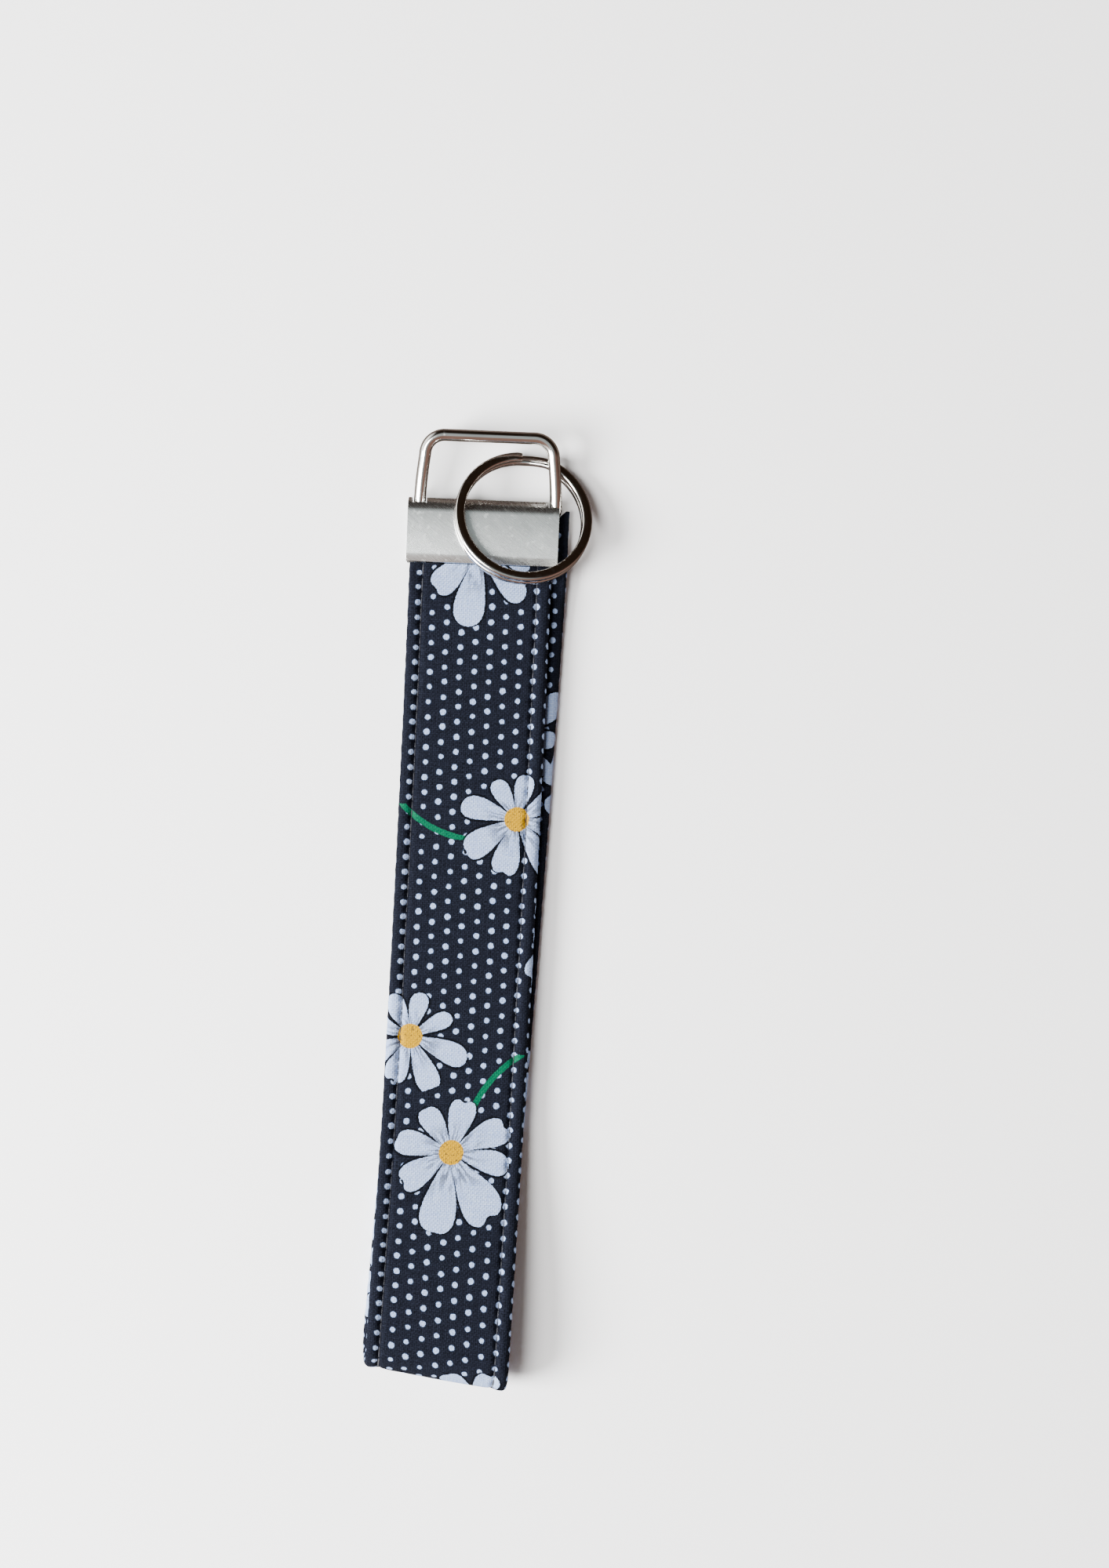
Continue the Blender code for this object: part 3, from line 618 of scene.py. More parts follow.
def layer_z(side, s):
    """Height of a layer's middle, s from the mouth. side is 1 for the front layer and -1 for the back."""
    gap = PINCH_GAP + (LAYER_GAP - PINCH_GAP) * smooth(s / PINCH_LENGTH)
    between = PIVOT_Z + ((BACK_Z + FRONT_Z) / 2 - PIVOT_Z) * smooth(s / (2 * PINCH_LENGTH))
    rise = smooth((s - STRAIGHT + FOLD_RISE_LENGTH) / FOLD_RISE_LENGTH) if side > 0 else 0.0
    bow = STRAP_BOW * math.sin(math.pi * min(max(s / STRAIGHT, 0.0), 1.0))
    return between + bow + side * (layer_thickness(s) + gap) / 2 + (FOLD_TOP_Z - FRONT_Z) * rise


def layer_station(side, s):
    """(middle, across, outward, thickness) of a layer, s from the mouth."""
    step = 0.5 * MM
    climb = (layer_z(side, s + step) - layer_z(side, s - step)) / (2 * step)
    outward = Vector((0.0, side * climb, side)).normalized()
    slant = FOLD_SLANT * smooth((s - STRAIGHT + SLANT_LENGTH) / SLANT_LENGTH)
    x = front_x(s) if side > 0 else back_x(s)
    return Vector((x, -s, layer_z(side, s))), Vector((1.0, -slant, 0.0)), outward, layer_thickness(s)


def fold_station(turn):
    away = Vector((0.0, -math.sin(turn), -math.cos(turn)))
    x = front_x(STRAIGHT) + BACK_SHIFT_AT_FOLD * (1.0 - smooth(turn / math.pi))
    return Vector((x, -STRAIGHT, FOLD_Z)) + away * FOLD_RADIUS, Vector((1.0, -FOLD_SLANT, 0.0)), away, LAYER


def tail_station(side, y):
    """The same for a gripped end, y inside the clamp's mouth."""
    out = smooth((y - LIP_LENGTH - TOOTH_DEPTH) / TAIL_RAMP)
    pinched = PIVOT_Z + side * (PINCH_LAYER + PINCH_GAP) / 2
    gripped = PIVOT_Z + side * (CLAMP_HALF_INSIDE - GRIP_CLEARANCE - GRIP_LAYER / 2)
    thickness = PINCH_LAYER + (GRIP_LAYER - PINCH_LAYER) * out
    x = front_x(0.0) if side > 0 else back_x(0.0)
    middle = Vector((x, y, pinched + (gripped - pinched) * out))
    return middle, Vector((1.0, 0.0, 0.0)), Vector((0.0, 0.0, side)), thickness


def strip_station(v):
    """The station v along the strip from the front mouth, over the fold, to the back mouth."""
    if v < 0.0:
        return tail_station(1, -v)
    if v <= STRAIGHT:
        return layer_station(1, v)
    if v < STRAIGHT + FOLD_RUN:
        return fold_station(math.pi - (v - STRAIGHT) / FOLD_OUTER)
    if v <= BACK_MOUTH:
        return layer_station(-1, BACK_MOUTH - v)
    return tail_station(-1, v - BACK_MOUTH)


def lanes(edge, corner):
    """(across, lift, run) round a section, from the middle of its inner face and back to it."""
    flat = edge - corner
    seam = min(SEAM_X, 0.9 * flat)
    right = [seam * t for t in FACE_LANES] + [seam + (flat - seam) * t for t in ROLL_LANES]
    turns = [math.pi * (i + 1) / (EDGE_STEPS + 1) for i in range(EDGE_STEPS)]
    rim = [(flat + corner * math.sin(a), math.cos(a), flat + corner * a) for a in turns]
    inner_run = 2 * flat + corner * math.pi
    half = [(x, 1.0, x) for x in right] + rim + [(x, -1.0, inner_run - x) for x in reversed(right)]
    return [(-x, lift, -run) for x, lift, run in reversed(half)] + half[1:]


def seam_place(v):
    """Where the row of stitches runs, which wanders a little."""
    return SEAM_X + SEAM_WANDER * noise.noise(Vector((v / (14 * MM), 3.1, 0.0)))


def face_height(x, lift, v, half, cloth, stitch):
    """How far the cover's skin is from the strap's middle layer on one of its faces."""
    x_off = abs(x) - seam_place(v)
    fine = half / (LAYER / 2)
    if x_off < 0.0:
        level = half * (FACE_LEVEL - (FACE_LEVEL - SEAM_LEVEL) * (x / SEAM_X) ** 2)
    else:
        level = half * (SEAM_LEVEL + (1.0 - SEAM_LEVEL) * smooth(x_off / SEAM_SHOULDER))
    beat = math.cos(2 * math.pi * v / stitch)
    depth = cloth.seam_depth * (1.0 if lift > 0 else 0.7)
    groove = depth * fine * (GROOVE_EVEN + GROOVE_BEAT * beat) * math.exp(-((x_off / GROOVE_HALF) ** 2))
    pucker = PUCKER * beat * math.exp(-((x_off / PUCKER_HALF) ** 2))
    broad = noise.noise(Vector((x / (5 * MM), v / (7 * MM), lift)))
    close = noise.noise(Vector((x / (1.7 * MM), v / (2.1 * MM), 5.0 + lift)))
    puff = cloth.puff * fine * (0.65 * broad + 0.35 * close)
    allowed = smooth((SEAM_X * 1.24 - abs(x)) / (0.08 * SEAM_X))
    return min(level - groove - pucker * fine + puff * allowed, half * 1.03)


def cover_row(v, cloth, stitch):
    """Points round the cover's skin at v, and how far round the cloth each is."""
    middle, across, outward, thickness = strip_station(v)
    half = thickness / 2
    found = lanes(STRAP_WIDTH / 2, half)
    points = []
    for x, lift, _ in found[:-1]:
        if abs(lift) == 1.0:
            out = lift * face_height(x, lift, v, half, cloth, stitch)
            aside = x
        else:
            out = lift * half
            swell = noise.noise(Vector((v / (2.4 * MM), math.copysign(7.0, x), lift)))
            beat = math.cos(2 * math.pi * v / stitch)
            ease = 1.0 - lift * lift
            aside = x + math.copysign(1.0, x) * ease * (EDGE_SWELL * swell - EDGE_BEAT * beat)
        point = middle + across * aside + outward * out
        if v > BACK_MOUTH:
            beside = smooth((point.x - BAIL_SIDE) / (0.5 * MM))
            point.y += SELVEDGE_RUN * beside * smooth((v - BACK_MOUTH) / TAIL_END)
        points.append(point)
    return points, [run for _, _, run in found]


def inner_row(v, edge, play):
    """Points round the pocket in the cover, or round the interfacing, which has play on every side."""
    middle, across, outward, thickness = strip_station(v)
    half = max(thickness / 2 - SLEEVE_WALL * thickness / LAYER, 0.14 * MM) - play
    corner = min(0.3 * MM, half)
    return [middle + across * x + outward * lift * half for x, lift, _ in lanes(edge - play, corner)[:-1]]


POCKET_EDGE = SEAM_X - 0.4 * MM - SLEEVE_WALL

# Each stretch of the strap: where it starts and ends along the strip, the bodies it joins, where along
# the strap the bend between them is, and how far the bend spreads to each side.
FOLD_BEND = 3.0 * MM
HALF_BEND = 12.0 * MM
MID_UPPER = HALF / 2
MID_LOWER = (HALF + STRAIGHT) / 2
MID_FOLD = STRAIGHT + FOLD_RUN / 2
BACK_LOWER_MIDDLE = BACK_MOUTH - MID_LOWER
BACK_UPPER_MIDDLE = BACK_MOUTH - MID_UPPER
BACK_END = BACK_MOUTH + TAIL_END
STRETCHES = {
    "front_tail": (-TAIL_END, -TAIL_GAP, None),
    "front": (MOUTH_GAP, MID_LOWER, ("front_lower", "front_upper", -HALF, HALF_BEND)),
    "front_fold": (MID_LOWER, MID_FOLD, ("fold", "front_lower", -STRAIGHT, FOLD_BEND)),
    "back_fold": (MID_FOLD, BACK_LOWER_MIDDLE, ("back_lower", "fold", -STRAIGHT, -FOLD_BEND)),
    "back_middle": (BACK_LOWER_MIDDLE, BACK_UPPER_MIDDLE, ("back_upper", "back_lower", -HALF, -HALF_BEND)),
    "back_root": (BACK_UPPER_MIDDLE, BACK_END, ("clamp_head", "back_upper", -FOLD_BEND, -FOLD_BEND)),
}
STOOD_FOR = {
    "front_tail": ["front_tail"],
    "front": ["front_upper"],
    "front_fold": ["front_lower"],
    "back_fold": ["fold"],
    "back_middle": ["back_lower"],
    "back_root": ["back_upper", "back_tail"],
}


def rows_along(start, end):
    count = max(round((end - start) / ROW_STEP), 4)
    return [start + (end - start) * i / count for i in range(count + 1)]


def world(point):
    return point + ORIGIN


def skin(rows, closed):
    """Faces between rows of matched points. A closed skin goes from its last row back to its first."""
    count = len(rows[0])
    pairs = len(rows) if closed else len(rows) - 1
    faces = []
    for i in range(pairs):
        here, there = i * count, (i + 1) % len(rows) * count
        for j in range(count):
            k = (j + 1) % count
            faces.append((here + j, here + k, there + k, there + j))
    if not closed:
        faces.append(tuple(range(count))[::-1])
        faces.append(tuple(range((len(rows) - 1) * count, len(rows) * count)))
    return faces


def new_piece(name, points, faces, material, sharp=None):
    mesh = bpy.data.meshes.new(name)
    mesh.from_pydata([world(p) for p in points], [], faces)
    mesh.materials.append(material)
    mesh.shade_smooth()
    if sharp is not None:
        mesh.set_sharp_from_angle(angle=math.radians(sharp))
    made = bpy.data.objects.new(name, mesh)
    bpy.context.scene.collection.objects.link(made)
    return made


def baked_mesh(piece):
    """The mesh that a piece's modifiers make."""
    bpy.context.view_layer.update()
    return bpy.data.meshes.new_from_object(piece.evaluated_get(bpy.context.evaluated_depsgraph_get()))


def turn_out(piece):
    """Points every face of a closed piece outwards."""
    bm = bmesh.new()
    bm.from_mesh(piece.data)
    bmesh.ops.recalc_face_normals(bm, faces=bm.faces)
    bm.to_mesh(piece.data)
    bm.free()


def swept_piece(name, rows, material, sharp=None):
    """A piece whose skin runs through rows of matched points and is capped at both ends."""
    made = new_piece(name, [p for row in rows for p in row], skin(rows, closed=False), material, sharp)
    turn_out(made)
    return made


def signed_volume(points, faces):
    total = 0.0
    for face in faces:
        a = points[face[0]]
        for b, c in zip(face[1:], face[2:]):
            total += a.dot(points[b].cross(points[c]))
    return total


def join_bodies(piece, name):
    """Rides a stretch without a bend on the clamp's head; any other stretch only has its placement baked into
    its mesh, unbent.
    """
    bend = STRETCHES[name][2]
    if bend is None:
        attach(piece, "clamp_head")
        return
    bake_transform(piece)


# ---- operators -------------------------------------------------------------------------------------------


class WRISTLET_OT_cover(bpy.types.Operator):
    """Makes the printed cotton cover, one piece for each bend of the strap"""

    bl_idname = "wristlet.cover"
    bl_label = "Cotton Cover"

    def execute(self, context):
        cloth = context.scene.wristlet_cloth
        stitch = context.scene.wristlet_thread.stitch
        cotton = cotton_material(cloth)
        for name, (start, end, _) in STRETCHES.items():
            places = rows_along(start, end)
            outer, normals, runs = [], [], []
            for v in places:
                points, run = cover_row(v, cloth, stitch)
                before, _ = cover_row(v - 0.3 * MM, cloth, stitch)
                after, _ = cover_row(v + 0.3 * MM, cloth, stitch)
                outer.append(points)
                runs.append(run)
                for j in range(len(points)):
                    round_way = points[(j + 1) % len(points)] - points[j - 1]
                    normals.append((after[j] - before[j]).cross(round_way).normalized())
            pocket = [inner_row(v, POCKET_EDGE, 0.0) for v in places]
            rows = outer + pocket[::-1]
            points = [p for row in rows for p in row]
            faces = skin(rows, closed=True)
            if signed_volume(points, faces) < 0.0:
                faces = [face[::-1] for face in faces]
            piece = new_piece(f"cotton_cover_{name}", points, faces, cotton)
            self.mark_strip(piece, places, runs)
            self.shade(piece, normals)
            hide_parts(*[f"sleeve_{node}" for node in STOOD_FOR[name]])
            join_bodies(piece, name)
        return {"FINISHED"}

    def mark_strip(self, piece, places, runs):
        """Writes each corner's place on the flat strip, in tenths of a metre, to a UV map."""
        mesh = piece.data
        layer = mesh.uv_layers.new(name="strip")
        count = len(runs[0]) - 1
        rows = len(places)
        for polygon in mesh.polygons:
            lanes_here = [mesh.loops[i].vertex_index % count for i in polygon.loop_indices]
            wraps = max(lanes_here) - min(lanes_here) > 1
            for i in polygon.loop_indices:
                row, lane = divmod(mesh.loops[i].vertex_index, count)
                row = row if row < rows else 2 * rows - 1 - row
                lane = count if wraps and lane == 0 else lane
                layer.data[i].uv = (runs[row][lane] / MM / 100.0, places[row] / MM / 100.0)

    def shade(self, piece, normals):
        """Takes the skin's own normals, so that no seam shows between two stretches."""
        mesh = piece.data
        sign = 1.0
        if mesh.vertex_normals[len(normals) // 2].vector.dot(normals[len(normals) // 2]) < 0.0:
            sign = -1.0
        inner = [v.vector.copy() for v in mesh.vertex_normals][len(normals):]
        mesh.normals_split_custom_set_from_vertices([n * sign for n in normals] + inner)


class WRISTLET_OT_interfacing(bpy.types.Operator):
    """Makes the felt strip inside the cover"""

    bl_idname = "wristlet.interfacing"
    bl_label = "Interfacing"

    def execute(self, context):
        felt = felt_material(context.scene.wristlet_cloth)
        for name, (start, end, _) in STRETCHES.items():
            rows = [inner_row(v, POCKET_EDGE, CORE_CLEARANCE / 2) for v in rows_along(start, end)]
            piece = swept_piece(f"interfacing_{name}_strip", rows, felt, 50.0)
            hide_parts(*[f"interfacing_{node}" for node in STOOD_FOR[name]])
            join_bodies(piece, name)
        return {"FINISHED"}


def stitch_tree():
    """Geometry Nodes that lay one bent stitch on every point of a mesh."""
    tree = bpy.data.node_groups.new("stitches_along_seam", "GeometryNodeTree")
    tree.interface.new_socket("Seam", in_out="INPUT", socket_type="NodeSocketGeometry")
    for name in ("Stitch Length", "Thread Thickness", "Rise", "Sink"):
        tree.interface.new_socket(name, in_out="INPUT", socket_type="NodeSocketFloat")
    tree.interface.new_socket("Material", in_out="INPUT", socket_type="NodeSocketMaterial")
    tree.interface.new_socket("Stitches", in_out="OUTPUT", socket_type="NodeSocketGeometry")
    g = Graph(tree)
    given = g.node("NodeGroupInput").outputs
    half = g.times(given["Stitch Length"], 0.5)
    sink = g.times(given["Sink"], -1.0)
    bend = g.node("GeometryNodeCurveQuadraticBezier", Resolution=8)
    g.feed(bend.inputs["Start"], g.join(g.times(half, -1.0), 0.0, sink))
    g.feed(bend.inputs["Middle"], g.join(0.0, 0.0, given["Rise"]))
    g.feed(bend.inputs["End"], g.join(half, 0.0, sink))
    radius = g.times(given["Thread Thickness"], 0.5)
    ring = g.node("GeometryNodeCurvePrimitiveCircle", Resolution=7, Radius=radius)
    tube = g.node("GeometryNodeCurveToMesh")
    g.feed(tube.inputs["Curve"], bend.outputs[0])
    g.feed(tube.inputs["Profile Curve"], ring.outputs[0])
    tube.inputs["Fill Caps"].default_value = True
    ways = []
    for name in ("along", "out", "stretch"):
        read = g.node("GeometryNodeInputNamedAttribute", {"data_type": "FLOAT_VECTOR"})
        read.inputs["Name"].default_value = name
        ways.append(read.outputs[0])
    first = g.node("FunctionNodeAlignRotationToVector", {"axis": "X"}, Vector=ways[0])
    second = g.node("FunctionNodeAlignRotationToVector", {"axis": "Z", "pivot_axis": "X"}, Vector=ways[1])
    g.feed(second.inputs["Rotation"], first.outputs[0])
    laid = g.node("GeometryNodeInstanceOnPoints")
    g.feed(laid.inputs["Points"], given["Seam"])
    g.feed(laid.inputs["Instance"], tube.outputs[0])
    g.feed(laid.inputs["Rotation"], second.outputs[0])
    g.feed(laid.inputs["Scale"], ways[2])
    real = g.node("GeometryNodeRealizeInstances", Geometry=laid.outputs[0])
    smooth_shade = g.node("GeometryNodeSetShadeSmooth", Geometry=real.outputs[0])
    painted = g.node("GeometryNodeSetMaterial", Geometry=smooth_shade.outputs[0], Material=given["Material"])
    end = g.node("NodeGroupOutput")
    g.feed(end.inputs[0], painted.outputs[0])
    return tree


def lay_stitches(name, spots, tree, values):
    """Bakes the stitches at spots, each (place, along, out, stretch), to one mesh."""
    mesh = bpy.data.meshes.new(name)
    mesh.from_pydata([world(spot[0]) for spot in spots], [], [])
    for index, key in ((1, "along"), (2, "out"), (3, "stretch")):
        attribute = mesh.attributes.new(key, "FLOAT_VECTOR", "POINT")
        attribute.data.foreach_set("vector", [c for spot in spots for c in spot[index]])
    seed = bpy.data.objects.new(name, mesh)
    bpy.context.scene.collection.objects.link(seed)
    modifier = seed.modifiers.new("stitches", "NODES")
    modifier.node_group = tree
    for item in tree.interface.items_tree:
        if item.in_out == "INPUT" and item.name in values:
            modifier[item.identifier] = values[item.name]
    baked = baked_mesh(seed)
    baked.name = name
    seed.modifiers.remove(modifier)
    seed.data = baked
    bpy.data.meshes.remove(mesh)
    if not baked.polygons:
        raise RuntimeError(f"{name} has no stitches")
    for key in ("along", "out", "stretch"):
        if key in baked.attributes:
            baked.attributes.remove(baked.attributes[key])
    return seed


class WRISTLET_OT_stitches(bpy.types.Operator):
    """Sews both rows of topstitching and the stitch that joins the strap's ends"""

    bl_idname = "wristlet.stitches"
    bl_label = "Topstitching"

    def execute(self, context):
        cloth = context.scene.wristlet_cloth
        thread = context.scene.wristlet_thread
        tree = stitch_tree()
        values = {
            "Stitch Length": thread.stitch * 0.97,
            "Thread Thickness": thread.thickness,
            "Rise": 0.32 * MM,
            "Sink": 0.30 * MM,
            "Material": thread_material(thread),
        }
        for name, (start, end, _) in STRETCHES.items():
            if name == "front_tail":
                continue
            spots = []
            for number in range(math.ceil(start / thread.stitch - 0.5), math.floor(end / thread.stitch)):
                v = (number + 0.5) * thread.stitch
                if not max(start, 0.0) < v < min(end, BACK_MOUTH):
                    continue
                for hand in (-1.0, 1.0):
                    spots += [self.spot(v, hand, lift, cloth, thread) for lift in (1.0, -1.0)]
            piece = lay_stitches(f"topstitching_{name}", spots, tree, values)
            for node in STOOD_FOR[name]:
                if node != "back_tail":
                    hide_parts(f"topstitch_left_{node}", f"topstitch_right_{node}")
            join_bodies(piece, name)
        middle, across, outward, thickness = tail_station(1, END_STITCH_Y)
        spots = []
        count = round(2 * SEAM_X / thread.stitch)
        for i in range(count):
            x = -SEAM_X + (i + 0.5) * 2 * SEAM_X / count
            place = middle + across * x + outward * (thickness / 2 - 0.1 * MM)
            spots.append((place, Vector((1.0, 0.0, 0.0)), outward, Vector((1.0, 1.0, 1.0))))
        values["Rise"] = 0.1 * MM
        piece = lay_stitches("end_basting", spots, tree, values)
        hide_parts("end_stitch")
        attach(piece, "clamp_head")
        return {"FINISHED"}

    def spot(self, v, hand, lift, cloth, thread):
        """One stitch on the row at hand, on the outer face where lift is 1 and the inner where it is -1."""
        ends = []
        for at in (v - thread.stitch / 2, v, v + thread.stitch / 2):
            middle, across, outward, thickness = strip_station(at)
            x = hand * seam_place(at)
            level = thickness / 2 * SEAM_LEVEL - GROOVE_EVEN * cloth.seam_depth * thickness / LAYER
            ends.append((middle + across * x + outward * lift * (level + 0.02 * MM), outward * lift))
        along = ends[2][0] - ends[0][0]
        reach = min(along.length / thread.stitch, 1.2)
        return ends[1][0], along.normalized(), ends[1][1], Vector((reach, 1.0, 1.0))


class WRISTLET_OT_clamp(bpy.types.Operator):
    """Folds the nickel clamp that grips the strap's ends"""

    bl_idname = "wristlet.clamp"
    bl_label = "Clamp"

    def execute(self, context):
        metal = context.scene.wristlet_metal
        fold = ORIGIN.y + PIVOT_Y - 0.9 * MM
        nickel = metal_material("brushed_nickel", metal.clamp_tint, metal.clamp_roughness, 1.0, fold)
        teeth = 2 * max(round(CLAMP_WIDTH / TOOTH_PITCH), 2)
        steps = teeth * 4
        rows = []
        for i in range(steps + 1):
            x = -CLAMP_WIDTH / 2 + CLAMP_WIDTH * i / steps
            tooth = TOOTH_DEPTH * (0.5 - 0.5 * math.cos(math.pi * i / 4))
            rows.append([Vector((x, y, PIVOT_Z + z)) for y, z in self.section(tooth)])
        piece = swept_piece("crimp_clamp", rows, nickel, 35.0)
        cutters = [self.notch(hand, nickel) for hand in (-1, 1)]
        for cutter in cutters:
            cut = piece.modifiers.new("notch", "BOOLEAN")
            cut.operation = "DIFFERENCE"
            cut.object = cutter
        bevel = piece.modifiers.new("rounded", "BEVEL")
        bevel.width = SHEET_ROUNDING
        bevel.segments = 3
        bevel.limit_method = "ANGLE"
        bevel.angle_limit = math.radians(50.0)
        bevel.harden_normals = True
        baked = baked_mesh(piece)
        piece.modifiers.clear()
        piece.data = baked
        for cutter in cutters:
            bpy.data.objects.remove(cutter)
        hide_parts("clamp")
        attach(piece, "clamp_head")
        return {"FINISHED"}

    def section(self, tooth):
        """The folded sheet from the side, as (along, up) from the clamp's middle plane."""
        outer = CLAMP_THICKNESS / 2
        inner = CLAMP_HALF_INSIDE
        lip = [LIP_LENGTH * i / 6 for i in range(7)]
        top = [(y, outer - LIP_DROP * max(1.0 - y / LIP_LENGTH, 0.0) ** 1.15) for y in lip]
        bite = [2 * LIP_LENGTH * i / 6 for i in range(7)]
        under = []
        for y in bite:
            share = (1.0 - y / (2 * LIP_LENGTH)) ** 2
            under.append((y, inner - LIP_DROP * share - tooth * max(1.0 - y / LIP_LENGTH, 0.0)))
        turns = [math.pi / 2 - math.pi * i / 28 for i in range(29)]
        round_outer = [(PIVOT_Y + outer * math.cos(a), outer * math.sin(a)) for a in turns]
        round_inner = [(PIVOT_Y + inner * math.cos(a), inner * math.sin(a)) for a in reversed(turns)]
        back = [(y, -z) for y, z in reversed(top)]
        back_under = [(y, -z) for y, z in under]
        return top + round_outer + back + back_under + round_inner + under[::-1]

    def notch(self, hand, nickel):
        """A wedge about the bail's pivot that lets one leg swing."""
        spare = math.asin(min((WIRE / 2 + NOTCH_CLEARANCE) / CLAMP_HALF_INSIDE, 1.0))
        start, end = BAIL_TILT - BAIL_SWING - spare, BAIL_TILT + spare
        reach = 1.5 * CLAMP_THICKNESS
        arc = [start + (end - start) * i / 16 for i in range(17)]
        outline = [(0.0, 0.0)] + [(reach * math.cos(a), reach * math.sin(a)) for a in arc]
        near = hand * (BAIL_FOOT_WIDTH / 2 - WIRE - NOTCH_CLEARANCE) + BAIL_ASIDE
        far = hand * (BAIL_FOOT_WIDTH / 2 + NOTCH_CLEARANCE) + BAIL_ASIDE
        if CLAMP_WIDTH / 2 - abs(far) < NOTCH_EAR_MIN:
            far = hand * CLAMP_WIDTH
        rows = [[Vector((x, PIVOT_Y + y, PIVOT_Z + z)) for y, z in outline] for x in (near, far)]
        cutter = swept_piece("notch", rows, nickel)
        cutter.hide_render = True
        return cutter


class WRISTLET_OT_bail(bpy.types.Operator):
    """Bends the bail from round wire"""

    bl_idname = "wristlet.bail"
    bl_label = "Bail"

    def execute(self, context):
        metal = context.scene.wristlet_metal
        nickel = metal_material("polished_wire", metal.wire_tint, metal.wire_roughness, 0.0)
        tilt = Matrix.Rotation(BAIL_TILT, 3, "X")
        path = [Vector((x, y, 0.0)) for x, y in self.outline()]
        up = Vector((0.0, 0.0, 1.0))
        rows = []
        for i, middle in enumerate(path):
            before, after = path[max(i - 1, 0)], path[min(i + 1, len(path) - 1)]
            side = (after - before).normalized().cross(up)
            end = min(i, len(path) - 1 - i)
            radius = WIRE / 2 * BAIL_END_SIZES[min(end, 2)]
            row = []
            for j in range(metal.wire_sides):
                a = 2 * math.pi * j / metal.wire_sides
                spot = middle + side * radius * math.cos(a) + up * radius * math.sin(a)
                row.append(tilt @ spot + Vector((BAIL_ASIDE, PIVOT_Y, PIVOT_Z)))
            rows.append(row)
        piece = swept_piece("wire_bail", rows, nickel, 50.0)
        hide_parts("bail")
        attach(piece, "bail")
        return {"FINISHED"}

    def outline(self):
        """The wire's middle line in the bail's own plane, as (across, up) from its pivot."""
        foot = BAIL_FOOT_WIDTH / 2 - WIRE / 2
        top = BAIL_TOP_WIDTH / 2 - WIRE / 2
        height = CLAMP_THICKNESS / 2 + BAIL_RISE - WIRE / 2
        corner = BAIL_CORNER - WIRE / 2
        start = foot - HOOK_LENGTH
        right = [(start, 0.0), (start + 0.12 * MM, 0.0), (start + 0.3 * MM, 0.0)]
        for i in range(11):
            a = -math.pi / 2 + math.pi / 2 * i / 10
            right.append((foot - HOOK_BEND + HOOK_BEND * math.cos(a), HOOK_BEND + HOOK_BEND * math.sin(a)))
        shoulder = height - corner
        for i in range(1, 12):
            share = i / 12
            bow = BAIL_BOW * math.sin(math.pi * share)
            right.append((foot + (top - foot) * share + bow, HOOK_BEND + (shoulder - HOOK_BEND) * share))
        for i in range(19):
            a = math.pi / 2 * i / 18
            right.append((top - corner + corner * math.cos(a), shoulder + corner * math.sin(a)))
        span = top - corner
        right += [(span * (1 - i / 8), height) for i in range(1, 8)]
        return right + [(0.0, height)] + [(-x, y) for x, y in reversed(right)]


class WRISTLET_OT_ring(bpy.types.Operator):
    """Coils the split ring"""

    bl_idname = "wristlet.ring"
    bl_label = "Split Ring"

    def execute(self, context):
        metal = context.scene.wristlet_metal
        nickel = metal_material("polished_ring", metal.ring_tint, metal.wire_roughness, 0.0)
        lean = math.sin(RING_LEAN)
        normal = Vector((lean * math.cos(RING_DOWNHILL), lean * math.sin(RING_DOWNHILL), math.cos(RING_LEAN)))
        right = Vector((normal.z, 0.0, -normal.x)).normalized()
        turn = Matrix((right, normal.cross(right), normal)).transposed()
        level = (RING_WIRE_HEIGHT + RING_COIL_GAP) / 2
        start = RING_STEP_AT + RING_STEP_SPAN
        total = 4 * math.pi - 2 * RING_STEP_SPAN
        steps = 300
        rows = []
        for i in range(steps + 1):
            along = total * i / steps
            crossing = (along - total / 2) / (2 * RING_STEP_SPAN) + 0.5
            height = level * (1.0 - 2.0 * smooth(crossing))
            out = Vector((math.cos(start + along), math.sin(start + along), 0.0))
            end = min(i, steps - i)
            size = RING_END_SIZES[min(end, 2)]
            row = []
            for u, v in self.section(size):
                row.append(turn @ (out * (RING_RADIUS + u) + Vector((0.0, 0.0, height + v))) + RING_CENTRE)
            rows.append(row)
        piece = swept_piece("coiled_ring", rows, nickel, 50.0)
        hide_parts("split_ring")
        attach(piece, "ring")
        return {"FINISHED"}

    def section(self, size):
        """The wire's section, a rounded oblong, as (out, up)."""
        found = []
        for j in range(20):
            a = 2 * math.pi * j / 20
            u = math.copysign(abs(math.cos(a)) ** RING_SQUARENESS, math.cos(a))
            v = math.copysign(abs(math.sin(a)) ** RING_SQUARENESS, math.sin(a))
            found.append((u * RING_WIRE_WIDTH / 2 * size, v * RING_WIRE_HEIGHT / 2 * size))
        return found


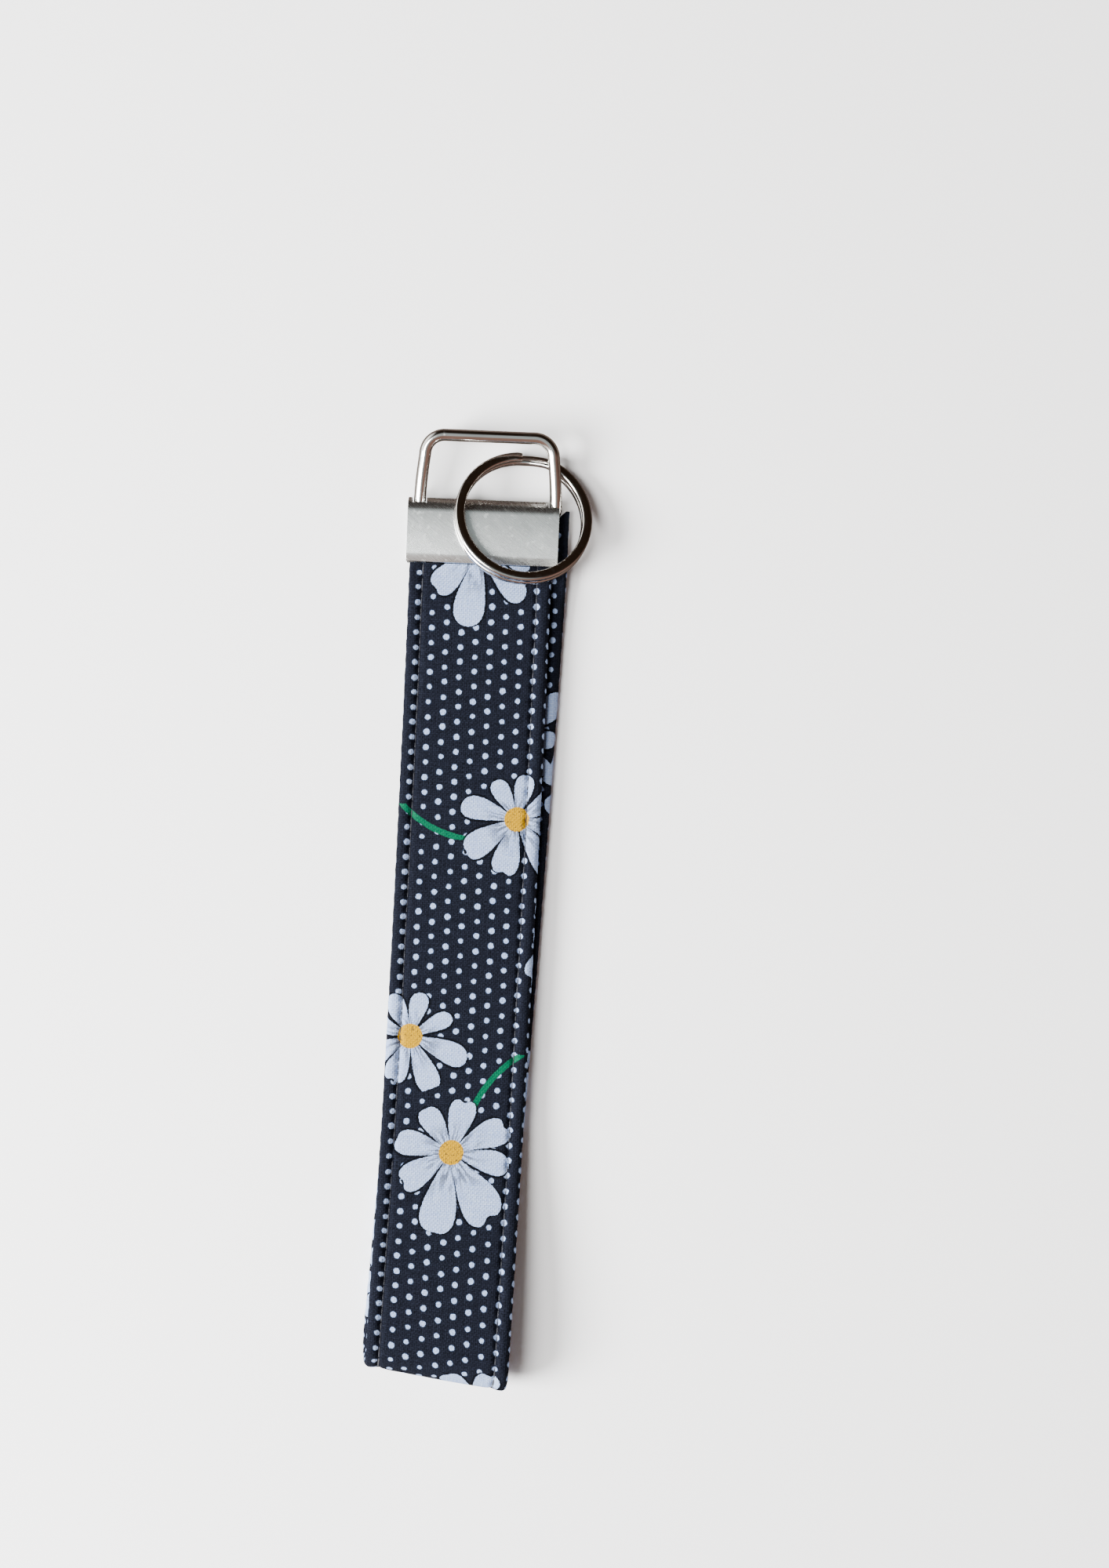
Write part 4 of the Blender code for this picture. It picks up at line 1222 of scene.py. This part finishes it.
class WRISTLET_OT_stage(bpy.types.Operator):
    """Sets the floor, the lights and the camera"""

    bl_idname = "wristlet.stage"
    bl_label = "Stage"

    def execute(self, context):
        stage = context.scene.wristlet_stage
        self.floor(stage)
        self.sky(context.scene)
        self.light("key_light", (-0.62, -0.18, 0.42), 0.40, stage.key_power)
        self.light("fill_light", (-0.45, -0.10, 1.00), 0.50, stage.fill_power)
        camera = bpy.data.objects.new("camera", bpy.data.cameras.new("camera"))
        context.scene.collection.objects.link(camera)
        camera.location = (12.35 * MM, 22.4 * MM, stage.camera_height)
        camera.rotation_euler = (0.0, 0.0, math.radians(2.4))
        camera.data.lens = 59.0
        camera.data.clip_start = 0.01
        context.scene.camera = camera
        return {"FINISHED"}

    def floor(self, stage):
        made, g, shader = new_material("pale_floor")
        place = g.node("ShaderNodeTexCoord").outputs["Object"]
        grain = g.cloud(place, 60.0, 2.0)
        tone = g.blend(grain, rgba(stage.floor_tint, 0.985), rgba(stage.floor_tint))
        # Painted reflection: glossy rays see the floor dark brown, so the metal mirrors a brown room while
        # the camera sees a pale floor.
        mirrored = g.node("ShaderNodeLightPath").outputs["Is Glossy Ray"]
        tone = g.blend(mirrored, tone, (0.045, 0.028, 0.02, 1.0))
        finish_surface(g, shader, tone, 0.8, grain, 0.02 * MM, 0.1)
        half = 3.0
        corners = [(-half, -half, 0.0), (half, -half, 0.0), (half, half, 0.0), (-half, half, 0.0)]
        mesh = bpy.data.meshes.new("floor")
        mesh.from_pydata(corners, [], [(0, 1, 2, 3)])
        mesh.materials.append(made)
        floor = bpy.data.objects.new("floor", mesh)
        bpy.context.scene.collection.objects.link(floor)

    def sky(self, scene):
        """A pale room with a warm brown side for the metal to mirror, and a bright window on the left."""
        world_made = bpy.data.worlds.new("room")
        world_made.use_nodes = True
        g = Graph(world_made.node_tree)
        way = g.node("ShaderNodeTexCoord").outputs["Generated"]
        x, y, z = g.parts(way)
        wall = g.blend(g.step(y, 0.25, -0.35), (0.020, 0.011, 0.006, 1.0), (0.34, 0.20, 0.16, 1.0))
        window = g.times(g.step(x, -0.40, -0.80), g.step(z, 0.02, 0.2))
        wall = g.blend(window, wall, (3.2, 3.2, 3.1, 1.0))
        tone = g.blend(g.step(z, 0.84, 0.97), wall, (0.42, 0.47, 0.475, 1.0))
        background = world_made.node_tree.nodes["Background"]
        g.feed(background.inputs["Color"], tone)
        background.inputs["Strength"].default_value = 1.0
        scene.world = world_made

    def light(self, name, place, size, power):
        data = bpy.data.lights.new(name, "AREA")
        data.shape = "DISK"
        data.size = size
        data.energy = power
        made = bpy.data.objects.new(name, data)
        bpy.context.scene.collection.objects.link(made)
        made.location = place
        made.rotation_euler = (-Vector(place)).to_track_quat("-Z", "Y").to_euler()


class WRISTLET_PT_panel(bpy.types.Panel):
    """Sizes, colours and steps of the keychain."""

    bl_idname = "WRISTLET_PT_panel"
    bl_label = "Wristlet Keychain"
    bl_space_type = "VIEW_3D"
    bl_region_type = "UI"
    bl_category = "Keychain"

    def draw(self, context):
        for key in SETTINGS:
            box = self.layout.box()
            box.label(text=key.replace("wristlet_", "").title())
            settings = getattr(context.scene, key)
            for name in settings.bl_rna.properties.keys():
                if name not in ("rna_type", "name"):
                    box.prop(settings, name)
        for step in STEPS:
            self.layout.operator(step.bl_idname)


SETTINGS = {
    "wristlet_cloth": WRISTLET_PG_cloth,
    "wristlet_thread": WRISTLET_PG_thread,
    "wristlet_metal": WRISTLET_PG_metal,
    "wristlet_stage": WRISTLET_PG_stage,
}
STEPS = (
    WRISTLET_OT_cover,
    WRISTLET_OT_interfacing,
    WRISTLET_OT_stitches,
    WRISTLET_OT_clamp,
    WRISTLET_OT_bail,
    WRISTLET_OT_ring,
    WRISTLET_OT_stage,
)


def register():
    for made in (*SETTINGS.values(), *STEPS, WRISTLET_PT_panel):
        bpy.utils.register_class(made)
    for key, group in SETTINGS.items():
        setattr(bpy.types.Scene, key, PointerProperty(type=group))


def unregister():
    for key in SETTINGS:
        delattr(bpy.types.Scene, key)
    for made in (WRISTLET_PT_panel, *reversed(STEPS), *reversed(list(SETTINGS.values()))):
        bpy.utils.unregister_class(made)


def main():
    register()
    bpy.ops.wristlet.cover()
    bpy.ops.wristlet.interfacing()
    bpy.ops.wristlet.stitches()
    bpy.ops.wristlet.clamp()
    bpy.ops.wristlet.bail()
    bpy.ops.wristlet.ring()
    bpy.ops.wristlet.stage()


if __name__ == "__main__":
    main()
